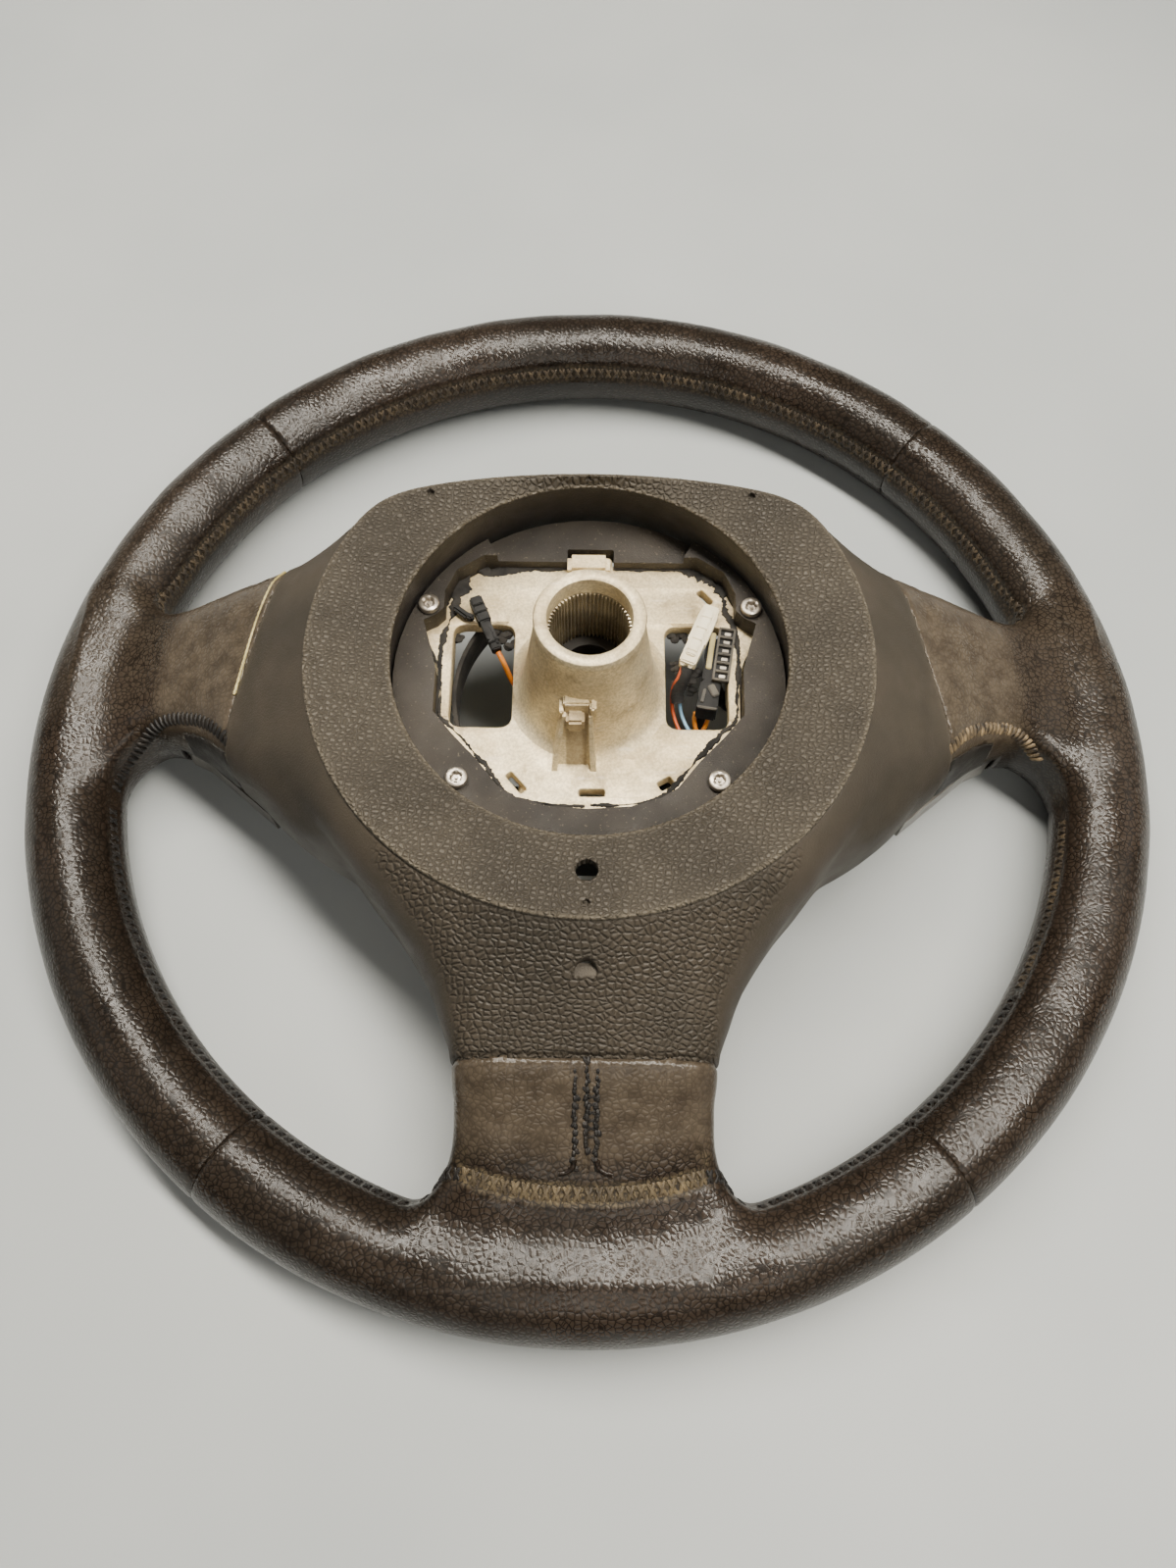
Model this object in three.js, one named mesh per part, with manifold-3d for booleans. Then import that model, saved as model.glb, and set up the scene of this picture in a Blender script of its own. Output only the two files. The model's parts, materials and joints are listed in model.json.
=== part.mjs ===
// Three-spoke leather-covered steering wheel without its airbag module.
// Millimetres. +Z points from the driver towards the steering column, +Y is twelve o'clock,
// and the wheel lies on its front face: the rim touches z = 0.

import * as THREE from "three";
import { mergeVertices } from "three/addons/utils/BufferGeometryUtils.js";
import Module from "manifold-3d";

const wasm = await Module();
wasm.setup();

// ---------------------------------------------------------------- driving dimensions
const GAP = 0.3; // air between touching pieces

const RIM_OUTER_RADIUS = 192.5;
const RIM_HALF_WIDTH = 15.8;
const RIM_HALF_HEIGHT = 17;
const RIM_RADIUS = RIM_OUTER_RADIUS - RIM_HALF_WIDTH;
const RIM_SIDES = 12;
const LEATHER = 1.2;
const UPPER_SEAM = 45.3; // degrees above three o'clock
const LOWER_SEAM = -52.8;
const SEAM_HALF_GAP = 0.05; // degrees
const PANEL_STEP = 11.2; // degrees between two sections of the rim

const CORE_HALF = 4.5;

const PLATE_TOP = 58;
const PLATE_BOTTOM = 53;
const BOSS_TOP = 100.3;
const BOSS_RADIUS = 16.2;
const BOSS_FRONT = 46;
const COUNTERBORE_RADIUS = 12.4;
const SPLINE_TOP = 93.5;
const SPLINE_BOTTOM = 70;
const SPLINE_TEETH = 60;
const SPLINE_MINOR = 11.4;
const SPLINE_MAJOR = 12.1;
const BOLT_BORE_RADIUS = 8.5;
const WINDOW = { near: 24.4, far: 44.3, low: -14.7, high: 22.7, corner: 3.5 };

const PLATEAU_RADIUS = 85.4;
const PLATEAU_TOP = 85;
const PLATEAU_CROWN = 63; // height of its flattened upper edge
const PLATEAU_CROWN_DROP = 0.0019;
const LIP = 1.6;
const COLLAR_RADIUS = 59.9;
const COLLAR_TOP = 82;
const WELL_RADIUS = 62.2;
const WELL_FLOOR = 62;
const PAD_TOP = 65.4;
const WALL_FOOT = 60;
const COVER_WALL = 2.5;
const COVER_EDGE = 36;
const WING_SLOPE = 0.85;
const SEAM_Y = 44;
const SEAM_X = 99.8;
const SEAM_SLANT = 0.2456;
const LOWER_SEAM_Y = 117.3;

const POD_FRONT = 9;
const POD_BACK = 25;
const POD_OUTER = 139;
const POD_WALL = 2;
const BUTTON_FACE = 7.4;
const BUTTON_GAP = 0.45;
const ROCKER_AXIS = { y: 15, z: 13.4 };

// ---------------------------------------------------------------- solids
const rad = THREE.MathUtils.degToRad;
const point = (x, y, z) => new THREE.Vector3(x, y, z);

function signedVolume(points, faces) {
  let sum = 0;
  for (let i = 0; i < faces.length; i += 3) {
    const [a, b, c] = [points[faces[i]], points[faces[i + 1]], points[faces[i + 2]]];
    sum += a.dot(b.clone().cross(c));
  }
  return sum / 6;
}

function solidFrom(points, faces) {
  if (signedVolume(points, faces) < 0) faces = faces.slice().reverse();
  const vertProperties = new Float32Array(points.flatMap((p) => [p.x, p.y, p.z]));
  return new wasm.Manifold(new wasm.Mesh({ numProp: 3, vertProperties, triVerts: new Uint32Array(faces) }));
}

function solidOf(geometry) {
  geometry.deleteAttribute("normal");
  geometry.deleteAttribute("uv");
  const merged = mergeVertices(geometry, 1e-4);
  const position = merged.getAttribute("position");
  const points = [];
  for (let i = 0; i < position.count; i++) points.push(new THREE.Vector3().fromBufferAttribute(position, i));
  return solidFrom(points, Array.from(merged.index.array));
}

// A skin over rings of equal point count: capped at both ends, or closed into a loop.
function loft(rings, looped = false) {
  const count = rings[0].length;
  const points = rings.flat();
  const faces = [];
  const spans = looped ? rings.length : rings.length - 1;
  for (let i = 0; i < spans; i++) {
    const here = i * count;
    const next = ((i + 1) % rings.length) * count;
    for (let j = 0; j < count; j++) {
      const k = (j + 1) % count;
      faces.push(here + j, here + k, next + k, here + j, next + k, next + j);
    }
  }
  if (!looped) {
    const last = (rings.length - 1) * count;
    for (const [start, forward] of [[0, false], [last, true]]) {
      const centre = points.length;
      const sum = point(0, 0, 0);
      for (let j = 0; j < count; j++) sum.add(points[start + j]);
      points.push(sum.divideScalar(count));
      for (let j = 0; j < count; j++) {
        const k = (j + 1) % count;
        faces.push(centre, start + (forward ? j : k), start + (forward ? k : j));
      }
    }
  }
  return solidFrom(points, faces);
}

function prism(outline, low, high) {
  const flat = (corners) => new THREE.Shape(corners.map(([x, y]) => new THREE.Vector2(x, y)));
  const shape = outline instanceof THREE.Shape ? outline : flat(outline);
  const depth = high - low;
  const geometry = new THREE.ExtrudeGeometry(shape, { depth, bevelEnabled: false, curveSegments: 3 });
  geometry.translate(0, 0, low);
  return solidOf(geometry);
}

function box(x0, x1, y0, y1, z0, z1) {
  const geometry = new THREE.BoxGeometry(x1 - x0, y1 - y0, z1 - z0);
  geometry.translate((x0 + x1) / 2, (y0 + y1) / 2, (z0 + z1) / 2);
  return solidOf(geometry);
}

// A turned solid about a vertical axis through (x, y): profile is a list of [radius, z].
function turned(profile, sides, x = 0, y = 0) {
  const geometry = new THREE.LatheGeometry(profile.map(([r, z]) => new THREE.Vector2(r, z)), sides);
  geometry.rotateX(Math.PI / 2);
  geometry.translate(x, y, 0);
  return solidOf(geometry);
}

function cylinder(radius, low, high, sides, x = 0, y = 0) {
  return turned([[0, low], [radius, low], [radius, high], [0, high]], sides, x, y);
}

function tube(route, radius, sides = 8, steps = 40) {
  const curve = new THREE.CatmullRomCurve3(route.map(([x, y, z]) => point(x, y, z)), false, "centripetal");
  const section = new THREE.Shape();
  for (let i = 0; i < sides; i++) {
    const turn = (2 * Math.PI * i) / sides;
    section[i ? "lineTo" : "moveTo"](radius * Math.cos(turn), radius * Math.sin(turn));
  }
  section.closePath();
  return solidOf(new THREE.ExtrudeGeometry(section, { steps, extrudePath: curve, bevelEnabled: false }));
}

function roundedRect(x0, x1, y0, y1, r) {
  const shape = new THREE.Shape();
  shape.moveTo(x0 + r, y0);
  shape.lineTo(x1 - r, y0);
  shape.absarc(x1 - r, y0 + r, r, -Math.PI / 2, 0);
  shape.lineTo(x1, y1 - r);
  shape.absarc(x1 - r, y1 - r, r, 0, Math.PI / 2);
  shape.lineTo(x0 + r, y1);
  shape.absarc(x0 + r, y1 - r, r, Math.PI / 2, Math.PI);
  shape.lineTo(x0, y0 + r);
  shape.absarc(x0 + r, y0 + r, r, Math.PI, 1.5 * Math.PI);
  return shape;
}

const union = (solids) => solids.reduce((a, b) => a.add(b));

// The same solid on the other side of the wheel.
function mirrored(solid) {
  const mesh = solid.getMesh();
  const points = [];
  for (let i = 0; i < mesh.numVert; i++) {
    const [x, y, z] = mesh.vertProperties.subarray(i * mesh.numProp, i * mesh.numProp + 3);
    points.push(point(-x, y, z));
  }
  return solidFrom(points, Array.from(mesh.triVerts));
}

// ---------------------------------------------------------------- the group of named meshes
const wheel = new THREE.Group();

function add(name, solid, material) {
  const mesh = solid.getMesh();
  const positions = new Float32Array(mesh.numVert * 3);
  for (let i = 0; i < mesh.numVert; i++) {
    positions.set(mesh.vertProperties.subarray(i * mesh.numProp, i * mesh.numProp + 3), i * 3);
  }
  const indexed = new THREE.BufferGeometry();
  indexed.setAttribute("position", new THREE.BufferAttribute(positions, 3));
  indexed.setIndex(new THREE.BufferAttribute(mesh.triVerts, 1));
  const geometry = indexed.toNonIndexed();
  geometry.computeVertexNormals();
  const node = new THREE.Mesh(geometry, material);
  node.name = name;
  wheel.add(node);
}

function material(color, roughness, metalness = 0) {
  return new THREE.MeshStandardMaterial({ color, roughness, metalness });
}

const leather = material(0x1f1a18, 0.42);
const foam = material(0x2a2827, 0.9);
const castMetal = material(0xb9b0a4, 0.5, 0.7);
const coverPlastic = material(0x37322e, 0.62);
const skinPlastic = material(0x2b2825, 0.7);
const screwSteel = material(0xa79f93, 0.45, 0.8);
const blackPlastic = material(0x0c0c0d, 0.45);
const ivoryPlastic = material(0xd6cfbd, 0.5);
const orangeWire = material(0xd8791f, 0.5);
const blueWire = material(0x86aecb, 0.5);
const redWire = material(0xb5512a, 0.5);
const sleeve = material(0x131313, 0.8);
const silverTrim = material(0xa9a8a4, 0.4, 0.4);
const buttonPlastic = material(0x1b1b1c, 0.5);
const boardGreen = material(0x1f4a2c, 0.6);
const springSteel = material(0x8d8a84, 0.35, 0.9);

// ---------------------------------------------------------------- rim and spoke shapes
function rimSection(degrees, inset) {
  const turn = rad(degrees);
  const ring = [];
  for (let i = 0; i < RIM_SIDES; i++) {
    const t = (2 * Math.PI * i) / RIM_SIDES;
    const r = RIM_RADIUS + (RIM_HALF_WIDTH - inset) * Math.cos(t);
    const z = RIM_HALF_HEIGHT + (RIM_HALF_HEIGHT - inset) * Math.sin(t);
    ring.push(point(r * Math.cos(turn), r * Math.sin(turn), z));
  }
  return ring;
}

// The rim is cut into four lengths by its leather seams; sections stand at the same angles in every piece.
const SEAMS = [UPPER_SEAM, 180 - UPPER_SEAM, 180 - LOWER_SEAM, 360 + LOWER_SEAM, 360 + UPPER_SEAM];

function panelAngles(index) {
  const from = SEAMS[index];
  const to = SEAMS[index + 1];
  const steps = Math.round((to - from) / PANEL_STEP);
  return Array.from({ length: steps + 1 }, (_, i) => from + ((to - from) * i) / steps);
}

// One length of the rim, whose ends stand back by half the gap in the seam.
function rimLength(index) {
  const angles = panelAngles(index);
  angles[0] += SEAM_HALF_GAP;
  angles[angles.length - 1] -= SEAM_HALF_GAP;
  return loft(angles.map((a) => rimSection(a, 0)));
}

// The space inside that length, run out past both ends.
function rimHollow(index) {
  const angles = panelAngles(index);
  angles.unshift(angles[0] - 3);
  angles.push(angles.at(-1) + 3);
  return loft(angles.map((a) => rimSection(a, LEATHER)));
}

const rimAngles = () => [0, 1, 2, 3].flatMap((i) => panelAngles(i).slice(0, -1));
const rimLoop = (inset) => loft(rimAngles().map((a) => rimSection(a, inset)), true);

// Each spoke is a row of sections: [distance from the axis, low side, high side, front z, rear z].
const SIDE_SPOKE = [
  [96, -44, 45.5, 15, 68],
  [106, -33, 44.5, 14, 63.5],
  [116, -23.5, 43.5, 12.5, 58.5],
  [128, -14, 42, 10, 51],
  [139, -8.5, 40.5, 8, 44.5],
  [148, -6.5, 41, 6, 39.5],
  [155, -11, 45.5, 4.5, 36.3],
  [161, -18, 52, 3.6, 34.6],
  [167, -25, 58, 3, 33],
  [172, -25, 52, 2.6, 32],
];
const LOWER_SPOKE = [
  [108, -40, 40, 27, 64],
  [117.3, -38.6, 38.6, 23, 58.4],
  [128, -38.2, 38.2, 17, 51.6],
  [138, -38.6, 38.6, 11, 44.6],
  [145, -40.5, 40.5, 7.5, 40],
  [151, -44.6, 44.6, 5.2, 36.8],
  [157, -50, 50, 3.8, 34.8],
  [164, -53, 53, 3, 33.2],
  [171, -45, 45, 2.6, 32],
];
const SPOKE_SIDES = 16;

function between(table, s) {
  let i = 0;
  while (i < table.length - 2 && table[i + 1][0] < s) i++;
  const f = (s - table[i][0]) / (table[i + 1][0] - table[i][0]);
  return table[i].map((value, k) => value + f * (table[i + 1][k] - value));
}

// One corner-rounded section point; turn runs round the section, rear side at 90 degrees.
function sectionPoint(row, turn, inset) {
  const [, low, high, front, rear] = row;
  const rounded = (value) => Math.sign(value) * Math.abs(value) ** 0.55;
  return {
    across: (low + high) / 2 + ((high - low) / 2 - inset) * rounded(Math.cos(turn)),
    z: (front + rear) / 2 + ((rear - front) / 2 - inset) * rounded(Math.sin(turn)),
  };
}

function spokeRing(row, inset, place) {
  const ring = [];
  for (let i = 0; i < SPOKE_SIDES; i++) {
    const { across, z } = sectionPoint(row, (2 * Math.PI * i) / SPOKE_SIDES, inset);
    ring.push(place(row[0], across, z));
  }
  return ring;
}

const onRight = (s, across, z) => point(s, across, z);
const onBottom = (s, across, z) => point(across, -s, z);
const sideSpoke = (inset) => loft(SIDE_SPOKE.map((row) => spokeRing(row, inset, onRight)));
const lowerSpoke = (inset) => loft(LOWER_SPOKE.map((row) => spokeRing(row, inset, onBottom)));

const seamX = (y) => SEAM_X + (SEAM_Y - y) * SEAM_SLANT;

// Everything on the hub's side of a spoke's leather edge.
function hubSideOfSeam(offset) {
  const [low, high] = [-80, 90];
  return prism([[60, low], [seamX(low) + offset, low], [seamX(high) + offset, high], [60, high]], -10, 110);
}
const hubSideOfLowerSeam = (offset) => box(-70, 70, -LOWER_SEAM_Y - offset, -90, -10, 110);
const podRoom = (clear) => box(60, POD_OUTER + clear, -60, 70, -10, POD_BACK + clear);

// ---------------------------------------------------------------- armature
function plateOutline() {
  const shape = new THREE.Shape();
  const right = [
    [13, -44], [22, -41.2], [27, -38], [34, -29], [41.5, -21], [48, -13], [48.3, 3],
    [50.2, 10], [53, 19.6], [49.4, 21.6], [46.8, 24.5], [46.8, 31], [43.5, 38.8], [35, 44.5],
  ];
  shape.moveTo(0, -45);
  right.forEach(([x, y]) => shape.lineTo(x, y));
  shape.lineTo(7.4, 44.5);
  shape.lineTo(7.4, 49.5);
  shape.lineTo(-7.4, 49.5);
  shape.lineTo(-7.4, 44.5);
  right.reverse().forEach(([x, y]) => shape.lineTo(-x, y));
  shape.closePath();
  return shape;
}

function splineBore() {
  const shape = new THREE.Shape();
  for (let i = 0; i < 2 * SPLINE_TEETH; i++) {
    const r = i % 2 ? SPLINE_MAJOR : SPLINE_MINOR;
    const turn = (Math.PI * i) / SPLINE_TEETH;
    shape[i ? "lineTo" : "moveTo"](r * Math.cos(turn), r * Math.sin(turn));
  }
  shape.closePath();
  return prism(shape, SPLINE_BOTTOM, SPLINE_TOP + 1);
}

// A cast arm: a flat bar through [distance, middle across, middle z, half width, half depth].
function arm(stations, place) {
  return loft(
    stations.map(([s, across, z, w, h]) => [
      place(s, across - w, z - h),
      place(s, across + w, z - h),
      place(s, across + w * 0.8, z + h),
      place(s, across - w * 0.8, z + h),
    ]),
  );
}

const SIDE_ARM = [
  [44.6, 9, 52, 12, 3.4],
  [58, 10, 51, 12, 4],
  [84, 14, 47, 11, 4.2],
  [116, 17.5, 40, 10, 4.2],
  [142, 18, 31, 9, 4.2],
  [160, 18, 22, 9, 4.4],
  [RIM_RADIUS, 18, RIM_HALF_HEIGHT, 9, 4.2],
];
const LOWER_ARM = [
  [32, 15, 52, 7, 3.4],
  [50, 15.5, 51.3, 7, 3.8],
  [84, 17, 49, 6.5, 4],
  [112, 18, 43, 6.5, 4],
  [140, 18, 29, 6.5, 4.2],
  [162, 18, 19, 6.5, 4.4],
  [RIM_RADIUS - 1, 18, RIM_HALF_HEIGHT, 6.5, 4.2],
];

// The square bar cast round the whole rim.
function rimCore(half) {
  const corners = [[-1, -1], [1, -1], [1, 1], [-1, 1]];
  const section = (degrees) =>
    corners.map(([u, v]) => {
      const r = RIM_RADIUS + u * half;
      const turn = rad(degrees);
      return point(r * Math.cos(turn), r * Math.sin(turn), RIM_HALF_HEIGHT + v * half);
    });
  return loft(rimAngles().map(section), true);
}

function armature() {
  const sideArm = arm(SIDE_ARM, onRight);
  const lowerArm = arm(LOWER_ARM, onBottom);
  const core = rimCore(CORE_HALF);
  const boss = turned(
    [[0, BOSS_FRONT], [19.5, BOSS_FRONT], [21.5, 50], [24.2, PLATE_BOTTOM], [24.2, 58.5], [22.2, 61.5],
      [20.4, 68], [18.8, 78], [17.2, 89], [BOSS_RADIUS, 95], [BOSS_RADIUS, BOSS_TOP - 0.8],
      [BOSS_RADIUS - 0.8, BOSS_TOP], [0, BOSS_TOP]],
    40,
  );
  const lug = union([
    box(-7.3, 0.3, -21, -14, 70, 85),
    loft([
      [point(-10.4, -30, 57), point(2.2, -30, 57), point(2.2, -14, 57), point(-10.4, -14, 57)],
      [point(-6.6, -22.5, 77.5), point(-0.3, -22.5, 77.5), point(-0.3, -14, 77.5), point(-6.6, -14, 77.5)],
    ]),
  ]);
  const { near, far, low, high, corner } = WINDOW;
  const window = prism(roundedRect(near, far, low, high, corner), PLATE_BOTTOM - 10, PLATE_TOP + 4);
  const slot = (x, y, length, width, degrees) => {
    const geometry = new THREE.BoxGeometry(length, width, 12);
    geometry.rotateZ(rad(degrees));
    geometry.translate(x, y, PLATE_TOP - 2);
    return solidOf(geometry);
  };
  const slots = union([
    slot(-23, -36.8, 8, 2.2, -50),
    slot(0.8, -40.6, 8, 2.2, 0),
    slot(25.4, -36.4, 4.6, 3, 30),
    slot(38, 34.2, 6.2, 2.4, -51),
  ]);
  const bores = union([
    splineBore(),
    cylinder(COUNTERBORE_RADIUS, SPLINE_TOP, BOSS_TOP + 1, 40),
    cylinder(BOLT_BORE_RADIUS, BOSS_FRONT - 1, SPLINE_BOTTOM + 1, 32),
  ]);
  return union([
    prism(plateOutline(), PLATE_BOTTOM, PLATE_TOP),
    boss,
    lug,
    sideArm,
    mirrored(sideArm),
    lowerArm,
    mirrored(lowerArm),
    core,
  ])
    .subtract(window)
    .subtract(mirrored(window))
    .subtract(slots)
    .subtract(bores);
}

// ---------------------------------------------------------------- foam and leather
function rimFoam() {
  const inset = LEATHER + GAP;
  const side = sideSpoke(inset).subtract(hubSideOfSeam(1)).subtract(podRoom(1));
  const lower = lowerSpoke(inset).subtract(hubSideOfLowerSeam(1));
  // The casting stands in a channel a little wider than itself.
  const roomForArm = (stations, place) => {
    const outer = stations.slice(2).map(([s, across, z, w, h]) => [s, across, z, w + 0.5, h + 0.5]);
    return arm(outer, place);
  };
  const sideRoom = roomForArm(SIDE_ARM, onRight);
  const lowerRoom = roomForArm(LOWER_ARM, onBottom);
  const coreRoom = rimCore(CORE_HALF + GAP);
  return union([rimLoop(inset), side, mirrored(side), lower])
    .subtract(coreRoom)
    .subtract(sideRoom)
    .subtract(mirrored(sideRoom))
    .subtract(lowerRoom)
    .subtract(mirrored(lowerRoom));
}

const topPanel = () => rimLength(0).subtract(rimHollow(0));

function sidePanel() {
  const outer = rimLength(3).add(sideSpoke(0));
  const inner = rimHollow(3).add(sideSpoke(LEATHER));
  return outer.subtract(inner).subtract(hubSideOfSeam(0.25)).subtract(podRoom(0.5));
}

function lowerPanel() {
  const outer = rimLength(2).add(lowerSpoke(0));
  const inner = rimHollow(2).add(lowerSpoke(LEATHER));
  return outer.subtract(inner).subtract(hubSideOfLowerSeam(0.25));
}

// ---------------------------------------------------------------- rear cover
// Distance from the axis to the plateau's edge: a circle, cut off above by a shallow arc.
function plateauEdge(turn) {
  const [c, s] = [Math.cos(turn), Math.sin(turn)];
  if (s <= 0.3) return PLATEAU_RADIUS;
  const k = PLATEAU_CROWN_DROP * c * c;
  const crown = k < 1e-6 ? PLATEAU_CROWN / s : (-s + Math.sqrt(s * s + 4 * k * PLATEAU_CROWN)) / (2 * k);
  const rounding = 24; // a higher power gives a sharper corner
  return (PLATEAU_RADIUS ** -rounding + crown ** -rounding) ** (-1 / rounding);
}

// The cover's outer edge on the right half, from twelve o'clock to six o'clock.
function coverEdge() {
  const open = ([x, y]) => ({ at: point(x, y, COVER_EDGE), arch: false });
  const upper = [
    [0, 65], [14, 64.6], [28, 63.4], [41, 61.4], [52, 58.6],
    [61, 55.2], [68.5, 51], [75, 46], [82, 43], [91, 42],
  ].map(open);
  const lower = [
    [112, -29], [101.9, -35.1], [93, -41], [85, -47.2], [77.6, -54.2], [71, -62],
    [64.5, -70.4], [57.7, -78.5], [50.8, -88.5], [45.4, -98], [42, -107],
  ].map(open);
  const arch = (table, distance, from, to, steps, place) => {
    const points = [];
    for (let i = 0; i <= steps; i++) {
      const turn = rad(from + ((to - from) * i) / steps);
      let s = distance(0);
      let outer;
      for (let round = 0; round < 4; round++) {
        outer = sectionPoint(between(table, s), turn, 0);
        s = distance(outer.across);
      }
      const row = between(table, s);
      const inner = sectionPoint(row, turn, COVER_WALL);
      points.push({
        at: place(s, outer.across, outer.z),
        inner: place(s, inner.across, inner.z),
        arch: true,
        rear: row[4],
      });
    }
    return points;
  };
  const side = arch(SIDE_SPOKE, (y) => seamX(y) - 0.25, 2, 178, 10, onRight);
  const foot = arch(LOWER_SPOKE, () => LOWER_SEAM_Y - 0.25, 2, 90, 6, onBottom);
  return [...upper, ...side, ...lower, ...foot];
}

function rearCover() {
  const half = coverEdge();
  const flip = (p) => p && point(-p.x, p.y, p.z);
  const flipped = (e) => ({ ...e, at: flip(e.at), inner: flip(e.inner) });
  const left = half.slice(1, -1).reverse().map(flipped);
  const edge = [...half, ...left];
  const polar = (r, turn, z) => point(r * Math.cos(turn), r * Math.sin(turn), z);
  const turnOf = (e) => Math.atan2(e.at.y, e.at.x);
  const ringAt = (radius, z) => edge.map((e) => polar(radius(turnOf(e)), turnOf(e), z));
  const pulled = (e, distance, z) => {
    const r = Math.hypot(e.at.x, e.at.y);
    const free = r - plateauEdge(turnOf(e));
    return polar(r - Math.min(distance, free / 2), turnOf(e), z);
  };
  const shoulder = edge.map((e) => {
    const run = Math.hypot(e.at.x, e.at.y) - plateauEdge(turnOf(e));
    if (e.arch) return pulled(e, 3.5, Math.max(e.at.z, e.rear - 3) + 2.4);
    return pulled(e, 3.5, PLATEAU_TOP - LIP - WING_SLOPE * Math.max(run - 3.5, run / 2));
  });
  const shoulderInside = shoulder.map((p) => {
    const turn = Math.atan2(p.y, p.x);
    return polar(Math.hypot(p.x, p.y) - 2.4, turn, p.z - 2.8);
  });
  const rings = [
    ringAt(() => WELL_RADIUS, WALL_FOOT),
    ringAt(() => WELL_RADIUS, PAD_TOP + 1),
    ringAt(() => COLLAR_RADIUS, COLLAR_TOP - 1),
    ringAt(() => COLLAR_RADIUS + 0.8, COLLAR_TOP),
    ringAt((t) => plateauEdge(t) - 1, PLATEAU_TOP),
    ringAt((t) => plateauEdge(t), PLATEAU_TOP - 0.5),
    ringAt((t) => plateauEdge(t) + 0.2, PLATEAU_TOP - LIP),
    shoulder,
    edge.map((e) => e.at),
    edge.map((e) => e.inner || pulled(e, 2.5, COVER_EDGE)),
    shoulderInside,
    ringAt((t) => plateauEdge(t) - 5, PLATEAU_TOP - 5),
    ringAt(() => COLLAR_RADIUS + 4.6, COLLAR_TOP - 4),
    ringAt(() => WELL_RADIUS + COVER_WALL, WALL_FOOT),
  ];
  return loft(rings, true)
    .subtract(cylinder(3.2, 70, 90, 20, 0, -71))
    .subtract(cylinder(3.1, 72.2, 90, 20, 0, -97));
}

// ---------------------------------------------------------------- moulded skin round the plate
const SCREWS = [[51.8, 25], [-51.8, 25], [39.6, -36.2], [-39.6, -36.2]];

function wellFloor() {
  const outer = cylinder(WELL_RADIUS - 2 * GAP, 56, PAD_TOP, 60);
  const recessOutline = [[-27, 38], [27, 38], [34, 51], [35, 70], [-35, 70], [-34, 51]];
  const recess = prism(recessOutline, WELL_FLOOR, PAD_TOP + 5);
  const plateRoom = prism(plateOutline(), 50, PAD_TOP + 5);
  // Widened slightly so that the skin stands clear of the plate all round.
  const spread = [[GAP, 0], [-GAP, 0], [0, GAP], [0, -GAP]].map(([dx, dy]) => {
    const shape = plateOutline();
    const outline = shape.getPoints(1).map((p) => [p.x + dx, p.y + dy]);
    return prism(outline, 50, PAD_TOP + 5);
  });
  const holes = union(SCREWS.map(([x, y]) => cylinder(2.1, 50, PAD_TOP + 5, 12, x, y)));
  return outer.subtract(recess).subtract(union([plateRoom, ...spread])).subtract(holes);
}

function coverScrew([x, y]) {
  const top = PAD_TOP + 0.3;
  const shank = [[0, 57], [1.8, 57], [1.8, top], [3.4, top]];
  const head = [[3.4, top + 2], [1.6, top + 2], [1.6, top + 0.6], [0, top + 0.6]];
  return turned([...shank, ...head], 14, x, y);
}

// ---------------------------------------------------------------- connectors and leads in the windows
function turnedBox(size, place, degrees) {
  const geometry = new THREE.BoxGeometry(...size);
  geometry.rotateZ(rad(degrees));
  geometry.translate(...place);
  return solidOf(geometry);
}

function smallConnector() {
  return union([
    turnedBox([5, 10, 4.6], [-35.7, 25.4, 61.6], 23),
    turnedBox([3.8, 12, 3.6], [-31.9, 16.4, 61.4], 23),
  ]);
}

function ivoryConnector() {
  return union([
    turnedBox([5.4, 23, 4.4], [35.4, 17, 61.4], -22.5),
    turnedBox([3.2, 18, 1.4], [35.4, 17, 64], -22.5),
  ]);
}

const MULTI = { x: 40.1, y: 8.6, degrees: -6 };
function multiPinConnector() {
  const body = turnedBox([5.4, 20.4, 10], [MULTI.x, MULTI.y, 53.9], MULTI.degrees);
  const block = turnedBox([6.6, 8, 8], [38, -4.6, 54], MULTI.degrees);
  const slots = [];
  for (let i = 0; i < 6; i++) {
    const along = (i - 2.5) * 3.2;
    const turn = rad(MULTI.degrees);
    const x = MULTI.x + 1 - along * Math.sin(turn);
    const y = MULTI.y + along * Math.cos(turn);
    slots.push(turnedBox([2.8, 1.6, 5], [x, y, 58.5], MULTI.degrees));
  }
  return body.add(block).subtract(union(slots));
}

// ---------------------------------------------------------------- switch pods in the side spokes
const POD_OUTLINE = [
  [74, -7], [84, -10], [126, -10], [POD_OUTER, -3.6], [POD_OUTER, 38], [82, 40], [74, 34],
];
const ROCKER = { x0: 106, x1: 126, y0: 0, y1: 30 };
const BUTTONS = { upper: { x0: 82, x1: 99, y0: 17, y1: 33 }, lower: { x0: 82, x1: 99, y0: -4, y1: 12 } };
const POD_SCREW = [133, 31];

function inset(outline, distance) {
  const [middleX, middleY] = [107, 15];
  return outline.map(([x, y]) => [
    x - Math.sign(x - middleX) * distance,
    y - Math.sign(y - middleY) * distance,
  ]);
}

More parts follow.
